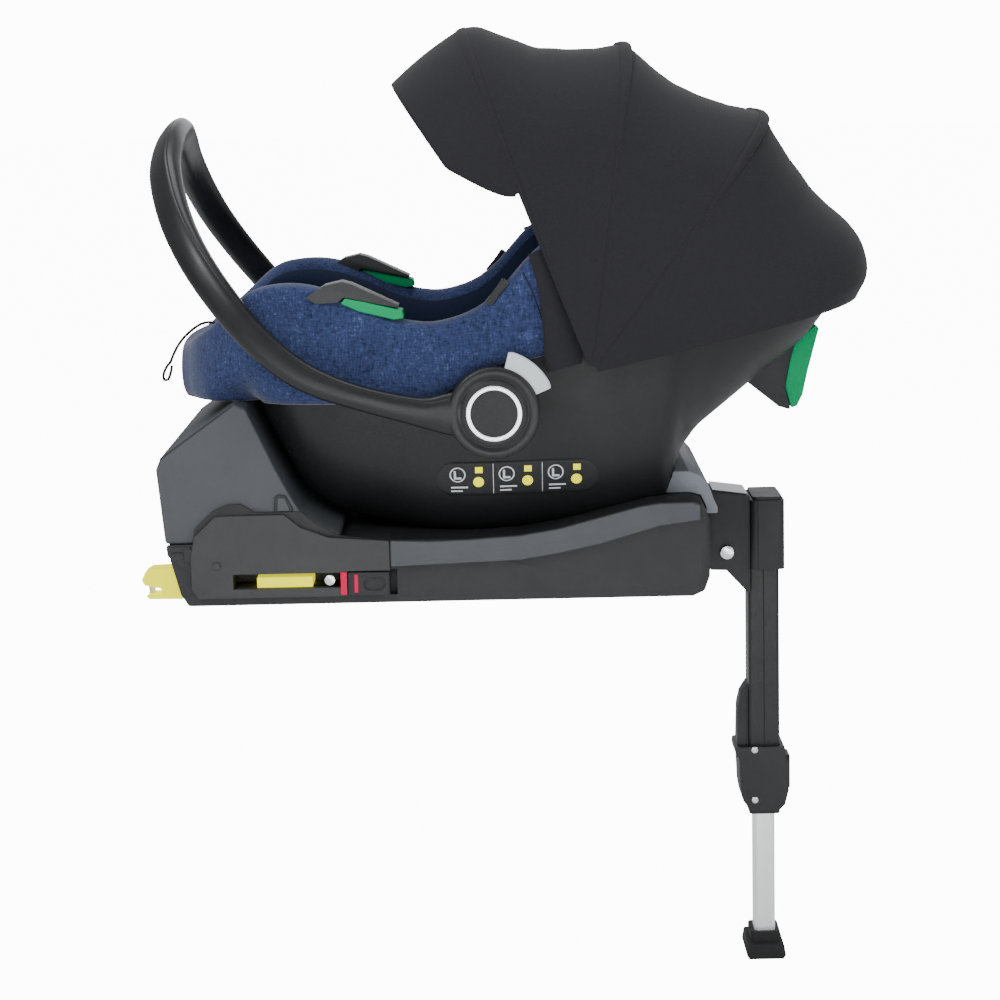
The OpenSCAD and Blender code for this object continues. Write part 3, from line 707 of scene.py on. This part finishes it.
PIVOT = Vector((412, 0, 205))
CANOPY_HALF = 203
CLOTH_T = 3
BOW_FRONT, BOW_MIDDLE, BOW_REAR, REAR_EDGE = (110, 336), (82, 303), (53, 290), (12.5, 266)
# crest radius of the tightened fabric along the top, by angle
CREST_LINE = [(12.5, 266), (15, 280), (17.8, 285.9), (22.1, 287.9), (27, 282.6), (31.4, 274.5),
              (36.3, 270.2), (43.5, 271.8), (49.9, 280.3), (53, 289), (58.9, 278.3), (66.3, 272.4),
              (71.3, 275.4), (75.7, 282.5), (82, 302), (87, 295), (92.2, 294.1), (98.6, 300.7),
              (103.9, 318.9), (107.5, 335), (110, 336)]
PANEL_LAP = 0.4  # how far a panel reaches past the middle of a bow, in degrees
VISOR_REACH = 14


def turns(count, limit=89.97):
    """Angles along an arch, closer together near its two ends."""
    result = []
    for i in range(count + 1):
        s = 2 * i / count - 1
        result.append(limit * math.copysign(1 - (1 - abs(s)) ** 2.6, s))
    return result


def canopy_point(angle, crest, turn, inset=0.0):
    """Point of the arch that stands at angle about the pivot, crest high, at turn along the arch."""
    a, t = math.radians(angle), math.radians(turn)
    r = (crest - inset) * math.sqrt(abs(math.cos(t)))
    y = (CANOPY_HALF - inset) * signed_power(math.sin(t), 0.5)
    return Vector((PIVOT.x + r * math.cos(a), y, PIVOT.z + r * math.sin(a)))


def crest_at(angle):
    xs, zs = zip(*CREST_LINE)
    return float(np.mean(np.interp([angle - 1, angle, angle + 1], xs, zs)))


def fabric_rings(start, end):
    """Rings of a fan of cloth that dips between its bows, with soft tension folds from its lower corners."""
    rings, steps = [], 36
    for turn in turns(120):
        share = math.sqrt(abs(math.cos(math.radians(turn))))
        outer, inner = [], []
        for i in range(steps + 1):
            s = i / steps
            angle = mix(start[0], end[0], s)
            fold = 1.8 * math.sin(math.pi * s) * noise.noise(Vector((angle * 0.16, share * 1.4, start[0])))
            crest = mix(mix(start[1], end[1], s), crest_at(angle), share) + fold
            outer.append(canopy_point(angle, crest, turn))
            inner.append(canopy_point(angle, crest, turn, CLOTH_T * 0.7))
        rings.append(outer + inner[::-1])
    return rings


def make_panel(name, node, start, end):
    """A panel between two bows; its crest goes over from one bow to the other by its angle about the pivot.
    """
    panel = loft(name, fabric_rings(start, end), "canopy_fabric")
    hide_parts(node)
    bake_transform(panel)


def past(bow, side):
    """Where a panel ends just past the middle of a bow's sleeve."""
    return (bow[0] + side * PANEL_LAP, bow[1])


def make_bow(name, node, bow, body):
    """Fabric sleeve over a bow, with a raised piped seam."""
    rings = []
    for turn in turns(110):
        ring = []
        for k in range(12):
            a = 2 * math.pi * k / 12
            wide, high = 1.05 * math.cos(a), 1.7 * math.sin(a)
            ring.append(canopy_point(bow[0] + wide, bow[1] - 0.4 + high, turn, 1.2 - 1.2 * math.sin(a)))
        rings.append(ring)
    piece = loft(name, rings, "canopy_fabric")
    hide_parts(node)
    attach(piece, body)


def make_visor():
    """Peak in front of the first bow. It runs out to nothing towards the lower corners."""
    rings, steps = [], 16
    for turn in turns(110, 73.5):
        share = math.sqrt(abs(math.cos(math.radians(turn))))
        reach = max(0.8, VISOR_REACH * min(1, max(0, (share - 0.53) / 0.19)) ** 0.5)
        outer, inner = [], []
        for i in range(steps + 1):
            s = i / steps
            hem = 1.0 if s < 0.9 else 1.9
            crest = mix(BOW_FRONT[1], 322, s * reach / VISOR_REACH)
            angle = past(BOW_FRONT, 1)[0] + reach * s
            outer.append(canopy_point(angle, crest, turn, -0.3 * (hem - 1)))
            inner.append(canopy_point(angle, crest, turn, CLOTH_T * 0.8 * hem))
        rings.append(outer + inner[::-1])
    visor = loft("visor_peak", rings, "canopy_fabric")
    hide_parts("canopy_visor")
    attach(visor, "canopy_front")


def make_skirts():
    """Side skirts that hang from the front bow and fold with it."""
    edge = [(356, 315), (357.7, 310), (364.5, 283), (368.4, 246), (369.6, 214), (372, 206)]
    inner = [(374, 321), (379, 308), (390, 283), (402, 250), (405, 232), (404, 214)]
    for side, tag in SIDES:
        rings = []
        for k in range(41):
            u = k / 40 * (len(edge) - 1)
            e = spline([Vector(p) for p in edge], u)
            f = spline([Vector(p) for p in inner], u)
            ring = [Vector((p.x, side * y, p.y)) for p, y in
                    ((e, 195.6), (mix(e, f, 0.15), 195.6), (f, 195.6),
                     (f, 197.4), (mix(e, f, 0.15), 198.6), (e, 198.6))]
            rings.append(ring)
        skirt = loft("canopy_side_" + tag, rings, "canopy_fabric")
        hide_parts("canopy_skirt")
        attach(skirt, "canopy_front")


def make_canopy():
    make_panel("canopy_cloth_front", "canopy_panel_front", past(BOW_FRONT, -1), past(BOW_MIDDLE, 1))
    make_panel("canopy_cloth_middle", "canopy_panel_middle", past(BOW_MIDDLE, -1), past(BOW_REAR, 1))
    make_panel("canopy_cloth_rear", "canopy_panel_rear", past(BOW_REAR, -1), REAR_EDGE)
    make_bow("bow_sleeve_front", "canopy_bow_front", BOW_FRONT, "canopy_front")
    make_bow("bow_sleeve_middle", "canopy_bow_middle", BOW_MIDDLE, "canopy_middle")
    make_bow("bow_sleeve_rear", "canopy_bow_rear", BOW_REAR, "canopy_rear")
    make_visor()
    make_skirts()


# ---------- seat pads and harness ----------

def make_seat_pad():
    """Seat cushion with a soft crown and channels sewn across it."""
    rings = []
    for x in stations(113, 497, 8):
        end = min(1, (x - 110) / 22, (500 - x) / 22)
        w, h = half_width(x) * 0.41, 17 * math.sqrt(max(0.1, end))
        z = floor_z(x) + 3.5
        ring = []
        for k in range(48):
            a = 2 * math.pi * k / 48
            y = w * signed_power(math.cos(a), 0.55)
            curl = 20 * (abs(y) / half_width(x)) ** 3
            ring.append(Vector((x, y, z + h / 2 + h / 2 * math.sin(a) + curl)))
        rings.append(ring)
    pad = inflate(loft("seat_cushion", rings, "liner_fabric"), voxel=0.0045)
    for v in pad.data.vertices:
        if v.normal.z > 0.3:
            channel = sum(math.exp(-((v.co.x / MM - at) / 3.4) ** 2) for at in (185, 262, 340, 418))
            v.co.z -= 0.0034 * channel * v.normal.z
    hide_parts("seat_pad")
    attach(pad, "carrier")


BACK_SLOPE = math.atan2(34, 41)
HEAD_AT = Vector((537.4, 0, 213))


def on_back(x, y, z):
    """Point of the backrest's own frame: x up the back, z out of it."""
    c, s = math.cos(BACK_SLOPE), math.sin(BACK_SLOPE)
    return HEAD_AT + Vector((x * c - z * s, y, x * s + z * c))


def make_headrest():
    """Head support: a flat pad with a raised bolster on each side."""
    half = [(0, 10), (35, 10), (62, 10.5), (76, 18), (80, 34), (80, 50)]
    line = [Vector((-y, z)) for y, z in half[:0:-1]] + [Vector(q) for q in half]
    rings = []
    for k in range(101):
        u = k / 100 * (len(line) - 1)
        p = spline(line, u)
        t = tangent(line, u, 0.1)
        out = Vector((-t.y, t.x))
        end = min(1, (k + 1) / 8, (101 - k) / 8) ** 0.5
        ring = []
        for j in range(32):
            a = 2 * math.pi * j / 32
            wide = 40 * signed_power(math.cos(a), 0.6)
            q = p + out * (8.4 * end * signed_power(math.sin(a), 0.8))
            ring.append(on_back(wide * (0.86 + 0.14 * end), q.x, q.y))
        rings.append(ring)
    rest = inflate(loft("head_support", rings, "cover_fabric"), voxel=0.005)
    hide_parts("headrest")
    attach(rest, "head_support")


def make_straps():
    """Two shoulder straps down to the buckle, and the crotch strap under it."""
    route = [(488, 46, 187), (470, 49, 182), (440, 51, 174), (400, 50, 164), (350, 42, 154), (300, 30, 150),
             (264, 21, 151)]
    for side, tag in SIDES:
        points = [(x, side * y, z) for x, y, z in route]
        piece = swept(f"harness_{tag}_strap", points, strap_section(32, 2.2), "webbing")
        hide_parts("harness_" + tag)
        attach(piece, "carrier")
    piece = swept("crotch_webbing", [(210, 0, 128), (212, 0, 134), (218, 0, 141), (225.6, 0, 146)],
                  strap_section(34, 2.2), "webbing", up=(-0.9, 0, 0.4))
    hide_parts("crotch_strap")
    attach(piece, "carrier")


PULL_ROUTE = [(54, -14, 240), (48, -15, 241.5), (41, -16, 242), (34, -18, 240), (27, -20, 235.5),
              (20, -21, 229.5), (14, -22, 222.5), (10, -22.5, 216), (7, -23, 210), (4.6, -23, 204.5),
              (0.8, -23, 200), (-2, -23, 194.5), (-3, -23, 189.5), (-1.4, -23, 186.6), (1.6, -23, 187.4),
              (3.4, -23, 191), (5, -23, 196), (5.8, -23, 201)]
PULL_DIAMETER = 2.8


def make_pull_cord():
    piece = swept("pull_cord", PULL_ROUTE, tube_section(PULL_DIAMETER / 2), "webbing", up=(0.13, 1, 0.07))
    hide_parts("pull_strap")
    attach(piece, "carrier")


# ---------- carry handle ----------

ARM_LINE = [(303, -213.8, 172), (278, -214.4, 172), (252, -216, 175), (200, -216, 188.5), (160, -214, 203),
            (130, -210, 221), (101, -204, 247), (76, -195, 277), (53, -180, 309), (35, -158, 340),
            (23, -131, 369), (16, -97, 396), (16, -52, 417), (18, 0, 426)]
ARM_SIZE = [(24, 7.8), (19, 7.8), (13.5, 8.6), (11.6, 9.5), (12.8, 9.8), (13.6, 10), (14.2, 10.2),
            (14.8, 10.6), (15.2, 11), (15.6, 11.4), (16, 11.8), (16.4, 12), (16.6, 12), (16.6, 12)]
HUB = (322, 172.5)
HUB_Y, HUB_T, HUB_R = 206, 16, 42.3


def arm_ring(line, size, u, sides):
    """Section of the arch at u, with the parting line of its two half shells on the upper outer edge."""
    plane = unit(Vector((0.642, 0, 0.766)))
    p, s = spline(line, u), spline(size, u)
    t = tangent(line, u)
    e = unit(plane - t * plane.dot(t))
    f = t.cross(e)
    ring = []
    for j in range(sides):
        a = 2 * math.pi * j / sides
        groove = 0.75 * math.exp(-((math.degrees(a) - 312) / 2.6) ** 2)
        across = (s.x - groove) * signed_power(math.cos(a), 0.8)
        over = (s.y - groove) * signed_power(math.sin(a), 0.8)
        ring.append(p + e * across + f * over)
    return ring


def about_hub(r, a, y):
    return Vector((HUB[0] + r * math.cos(a), y, HUB[1] + r * math.sin(a)))


def make_handle():
    """One arch from hub to hub, with a disc, a cap and a trim ring on each side."""
    line = [Vector(p) for p in ARM_LINE] + [Vector((x, -y, z)) for x, y, z in ARM_LINE[-2::-1]]
    size = [Vector(p) for p in ARM_SIZE] + [Vector(p) for p in ARM_SIZE[-2::-1]]
    count = (len(line) - 1) * 9
    arch = loft("handle_arch", [arm_ring(line, size, k / 9, 120) for k in range(count + 1)], "handle_grey")
    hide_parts("handle")
    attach(arch, "carry_handle")
    for side, tag in SIDES:
        r, y, t = HUB_R, HUB_Y, HUB_T
        disc = lathe("handle_hub_" + tag, [(q, side * z) for q, z in (
            (15.4, y + 0.4), (15.8, y), (r - 1.6, y), (r - 0.4, y + 0.5), (r, y + 1.6), (r, y + t - 2.6),
            (r - 0.7, y + t - 0.9), (r - 2.4, y + t - 0.1), (33.5, y + t), (32.6, y + t - 0.8),
            (31.4, y + t - 0.8), (30.5, y + t), (15.8, y + t), (15.4, y + t - 0.4), (15.4, y + 0.4))],
            HUB, "handle_grey")
        cut_pocket(disc, side)
        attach(disc, "carry_handle")
        cap = lathe("hub_cover_" + tag, [(q, side * z) for q, z in (
            (0, 222), (29.4, 222), (30, 222.5), (30, 223.6), (29.2, 224.3), (26.6, 224.5), (21, 224.3),
            (12, 223.7), (0, 223.5))], HUB, "base_black")
        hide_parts("hub_cap_" + tag)
        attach(cap, "carry_handle")
        ring = lathe("hub_trim_" + tag, [(q, side * z) for q, z in (
            (21.5, 224), (21.5, 225.5), (21.9, 225.9), (23.6, 226), (25.3, 225.9), (25.7, 225.5), (25.7, 224),
            (21.5, 224))], HUB, "chrome")
        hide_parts("hub_ring_" + tag)
        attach(ring, "carry_handle")


def cut_pocket(disc, side):
    """Pocket of the release button, cut into the rim of the hub."""
    rings = []
    for k in range(13):
        a = math.radians(mix(18, 80, k / 12))
        rings.append([about_hub(r, a, side * y) for r, y in ((28, 209), (70, 209), (70, 219), (28, 219))])
    cutter = loft("pocket_cutter", rings, "handle_grey")
    modify(disc, "BOOLEAN", object=cutter, operation="DIFFERENCE", solver="EXACT")
    apply_all(disc)
    bpy.data.objects.remove(cutter)


def make_handle_buttons():
    """Arc-shaped release buttons in the pockets of the hubs."""
    for side, tag in SIDES:
        rings = []
        for k in range(25):
            a = math.radians(mix(22.5, 75.5, k / 24))
            end = 1.2 * (1 - min(1, k / 2, (24 - k) / 2))
            section = [(35, 209.6), (46, 209.6), (55.6 - end, 209.6), (57.4 - end, 211), (58 - end, 214),
                       (57.4 - end, 217), (55.6 - end, 218.4), (46, 218.4), (35, 218.4), (35, 214)]
            rings.append([about_hub(r, a, side * y) for r, y in section])
        piece = loft("release_arc_" + tag, rings, "button_grey")
        modify(piece, "EDGE_SPLIT", split_angle=math.radians(50))
        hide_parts("handle_button_" + tag)
        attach(piece, "handle_release_" + tag)


# ---------- marks on the shell ----------

def on_shell(x, z, lift=0.0):
    return Vector((x, -half_width(x) * narrowing(x, z) - lift, z))


def shell_patch(name, slot, x0, x1, z0, z1, lift, round_ends=True, columns=60, rows=10):
    """Thin patch that follows the near side of the shell."""
    rings = []
    middle, high = (z0 + z1) / 2, (z1 - z0) / 2
    for i in range(columns + 1):
        a = math.pi * i / columns
        x = (x0 + x1) / 2 - (x1 - x0) / 2 * math.cos(a)
        into = min(1, (x - x0) / high, (x1 - x) / high)
        h = high * math.sqrt(max(0.0004, 1 - (1 - into) ** 2)) if round_ends else high
        front = [on_shell(x, middle + h * (2 * j / rows - 1), lift) for j in range(rows + 1)]
        back = [on_shell(x, middle + h * (2 * j / rows - 1), -0.3) for j in range(rows, -1, -1)]
        rings.append(front + back)
    piece = loft(name, rings, slot)
    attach(piece, "carrier")
    return piece


def make_decal():
    """Dark label ground with generic round and bar marks, without lettering."""
    shell_patch("decal_ground", "base_black", 267, 419, 87, 121, 0.35)
    for k, x in enumerate((279, 325, 371)):
        shell_patch(f"decal_ring_{k}", "button_grey", x, x + 15, 101, 116, 0.5, columns=24)
        shell_patch(f"decal_core_{k}", "base_black", x + 1.3, x + 13.7, 102.3, 114.7, 0.65, columns=24)
        shell_patch(f"decal_back_{k}", "button_grey", x + 4, x + 6, 104, 112.5, 0.8, False, 6, 4)
        shell_patch(f"decal_seat_{k}", "button_grey", x + 4, x + 11, 104, 106, 0.8, False, 8, 4)
        shell_patch(f"decal_spot_{k}", "yellow_plastic", x + 22, x + 32, 96, 106, 0.5, columns=20)
        shell_patch(f"decal_flag_{k}", "yellow_plastic", x + 24, x + 31, 110, 116, 0.5, False, 8, 4)
        shell_patch(f"decal_bar_{k}", "button_grey", x + 1, x + 17, 95, 96.6, 0.5, False, 12, 4)
        shell_patch(f"decal_line_{k}", "button_grey", x + 1, x + 12, 91.4, 92.8, 0.5, False, 10, 4)
        if k:
            shell_patch(f"decal_fold_{k}", "button_grey", x - 5.4, x - 4.8, 89, 119, 0.5, False, 4, 12)


def on_cover(x, z):
    """Point of the cover's outer face on the near side."""
    out = half_width(x) + 9.2
    if z < rim(x):
        out -= follows_hull(x) * half_width(x) * (1 - narrowing(x, z))
    return Vector((x, -out, z))


def make_cover_details():
    """Side seams of the cover."""
    for side, tag in SIDES:
        line = []
        for t in range(13):
            x = mix(351, 371, t / 12)
            p = on_cover(x, mix(rim(x) + 2, 243, t / 12))
            line.append(Vector((p.x, -side * p.y, p.z)))
        seam = swept("cover_seam_" + tag, line, tube_section(0.75, 8), "liner_fabric", up=(1, 0, 0.2),
                     steps=3)
        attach(seam, "carrier")


# the CAD node, its material and the width of its rounded edges in millimetres
RIGID = {
    "base_lower": ("base_black", 1.4), "base_end": ("base_grey", 2.6),
    "side_cover_left": ("guide_grey", 1.3), "side_cover_right": ("guide_grey", 1.3),
    "side_strip_left": ("base_grey", 1.2), "side_strip_right": ("base_grey", 1.2),
    "base_front": ("base_grey", 2.0), "leg_tongue": ("steel", 0.8), "leg_pivot_pin": ("chrome", 0.9),
    "screws": ("chrome", 0.5), "isofix_arm_left": ("yellow_plastic", 0.7),
    "isofix_arm_right": ("yellow_plastic", 0.7), "isofix_hook_left": ("steel", 0.5),
    "isofix_hook_right": ("steel", 0.5), "isofix_release_left": ("base_black", 0.8),
    "isofix_release_right": ("base_black", 0.8), "seat_release_button": ("red_plastic", 1.0),
    "leg_ears": ("base_black", 1.4), "leg_cap": ("base_black", 1.4), "leg_tube": ("leg_paint", 1.0),
    "leg_clamp": ("base_black", 1.4), "leg_button": ("base_black", 1.2),
    "leg_inner_tube": ("aluminium", 0.5), "leg_foot": ("foot_rubber", 1.4),
    "pivot_bosses": ("base_black", 1.0), "belt_guide_left": ("guide_grey", 1.8),
    "belt_guide_right": ("guide_grey", 1.8), "belt_insert_left": ("green_plastic", 1.6),
    "belt_insert_right": ("green_plastic", 1.6), "rear_guide": ("base_black", 1.2),
    "rear_insert": ("green_plastic", 1.0), "buckle": ("base_black", 1.4),
    "buckle_button": ("red_plastic", 1.0), "adjuster": ("base_black", 1.0),
    "adjuster_button": ("base_grey", 0.8),
}


def plate(name, slot, outline, y0, y1, body, width=0.0006):
    """Small flat moulding: an outline of (x, z) extruded along Y, in millimetres, with rounded edges."""
    n = len(outline)
    vertices = [Vector((x, y, z)) * MM for y in (y0, y1) for x, z in outline]
    faces = [tuple(range(n)), tuple(range(2 * n - 1, n - 1, -1))]
    faces += [(j, (j + 1) % n, n + (j + 1) % n, n + j) for j in range(n)]
    piece = new_piece(name, vertices, faces, slot)
    round_edges(piece, width, 2)
    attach(piece, body)


def box_outline(x0, x1, z0, z1):
    return [(x0, z0), (x1, z0), (x1, z1), (x0, z1)]


def turned(name, slot, at, profile, side, body):
    """Small turned piece; its profile is radius and distance from the middle plane."""
    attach(lathe(name, [(r, side * y) for r, y in profile], at, slot), body)


def make_connector_parts(side, tag):
    # red lock indicators on the release slider
    plate("release_tab_" + tag, "red_plastic", box_outline(175.2, 181.4, 0.6, 22.2),
          side * 187.2, side * 191.9, "release_" + tag)
    plate("release_mark_" + tag, "red_plastic", box_outline(188, 191.6, 2.4, 19.6),
          side * 191, side * 191.7, "release_" + tag, 0.0003)
    # painted shade: a dark sheet on the face of the connector deep inside the slot, and a cap on the screw
    # behind the release
    plate("arm_painted_shade_" + tag, "base_black", box_outline(66, 184, -3.4, 17.4),
          side * 151.6, side * 152.4, "connector_" + tag, 0.0001)
    turned("screw_cap_" + tag, "guide_grey", (60, 30),
           [(0, 191), (3.7, 190.1), (3.7, 191.6), (3.3, 192.1), (0, 192.1)], side, "base")


def make_end_parts(side, tag):
    # dark line along the sloping edge of the end block, and the catch on its inner edge
    plate("end_edge_" + tag, "base_black", [(9.4, 131.2), (79, 180.2), (80, 178.9), (10.4, 129.9)],
          side * 178, side * 182.95, "base", 0.0003)
    plate("end_catch_" + tag, "base_black",
          [(114.6, 79), (115.6, 93.5), (119, 95.6), (126, 94.6), (132, 83), (132, 79)],
          side * 181, side * 184.6, "base")
    plate("end_catch_face_" + tag, "base_grey",
          [(117.8, 80), (118.4, 91.6), (120, 92.8), (125, 92), (129, 83), (129, 80)],
          side * 184, side * 185.4, "base")
    plate("end_hinge_" + tag, "base_black", box_outline(17.5, 36, 43.5, 48.5),
          side * 184, side * 187.6, "base")
    plate("end_hinge_low_" + tag, "base_black", box_outline(29.5, 37.2, 33.5, 46.5),
          side * 184, side * 188.4, "base")


def make_rim_tabs(side, tag):
    """Woven tab on the rim of the cover, a dark face on a lighter edge."""
    for part, slot, inset, out, back in (("edge", "guide_grey", 0, 194.2, 190.4),
                                         ("face", "base_black", 1.6, 194.7, 188.4)):
        outline = [(315.5 + inset, 272.5), (320.5 + inset, 268.5), (338.5 - inset, 289), (334 - inset, 293.5)]
        plate(f"rim_tab_{part}_{tag}", slot, outline, side * out, side * back, "carrier")


def make_leg_parts(side, tag):
    # screws of the clamp
    for k, z in enumerate((-199.7, -251.6)):
        turned(f"clamp_screw_{tag}_{k}", "chrome", (576.5, z),
               [(0, 25.2), (3.3, 25.2), (3.3, 26.9), (2.8, 27.3), (1.5, 27.3), (1.3, 26.7), (0, 26.7)],
               side, "leg_upper")
    # seam of the cap and pressed groove of the tube
    plate("cap_seam_" + tag, "foot_rubber", box_outline(579.6, 580.6, -12.8, 56),
          side * 35.4, side * 36.12, "leg_upper", 0.0001)
    plate("tube_groove_" + tag, "foot_rubber", box_outline(586.2, 587.4, -194, -15),
          side * 19.5, side * 20.06, "leg_upper", 0.0001)


def make_small_parts():
    for side, tag in SIDES:
        make_connector_parts(side, tag)
        make_end_parts(side, tag)
        make_rim_tabs(side, tag)
        make_leg_parts(side, tag)
    # light patch on the bracket, without lettering
    plate("bracket_patch", "button_grey", [(536, 66.2), (536, 67.2), (570.5, 62.5), (570.5, 61.5)],
          -26, 26, "leg_upper", 0.0002)


def write_sizes():
    bpy.context.view_layer.update()
    low, high = Vector((1e9,) * 3), Vector((-1e9,) * 3)
    depsgraph = bpy.context.evaluated_depsgraph_get()
    for piece in scene.objects:
        if piece.type == "MESH" and not piece.hide_render and piece.name != "floor":
            shown = piece.evaluated_get(depsgraph)
            for corner in shown.bound_box:
                at = shown.matrix_world @ Vector(corner)
                low = Vector(map(min, low, at))
                high = Vector(map(max, high, at))


def paint_light_on_front_block():
    """The block behind the shell's front gets the same grey in a lighter tone: painted light on the block."""
    piece = bpy.data.objects["base_front_piece"]
    piece.data.materials.clear()
    piece.data.materials.append(plastic("base_grey_painted_light", (0.205, 0.225, 0.26), 0.5))


MATERIALS = make_materials()
make_camera()
make_floor()
make_world()
make_lights()
make_pull_cord()
for node_name, (slot_name, round_by) in RIGID.items():
    bevelled(node_name, slot_name, round_by * MM)
make_shell()
make_liner()
make_cover()
make_canopy()
make_handle()
make_handle_buttons()
make_seat_pad()
make_headrest()
make_straps()
make_decal()
make_cover_details()
make_small_parts()
# painted light: a lighter copy of the base grey on the block behind the shell's front
paint_light_on_front_block()
write_sizes()
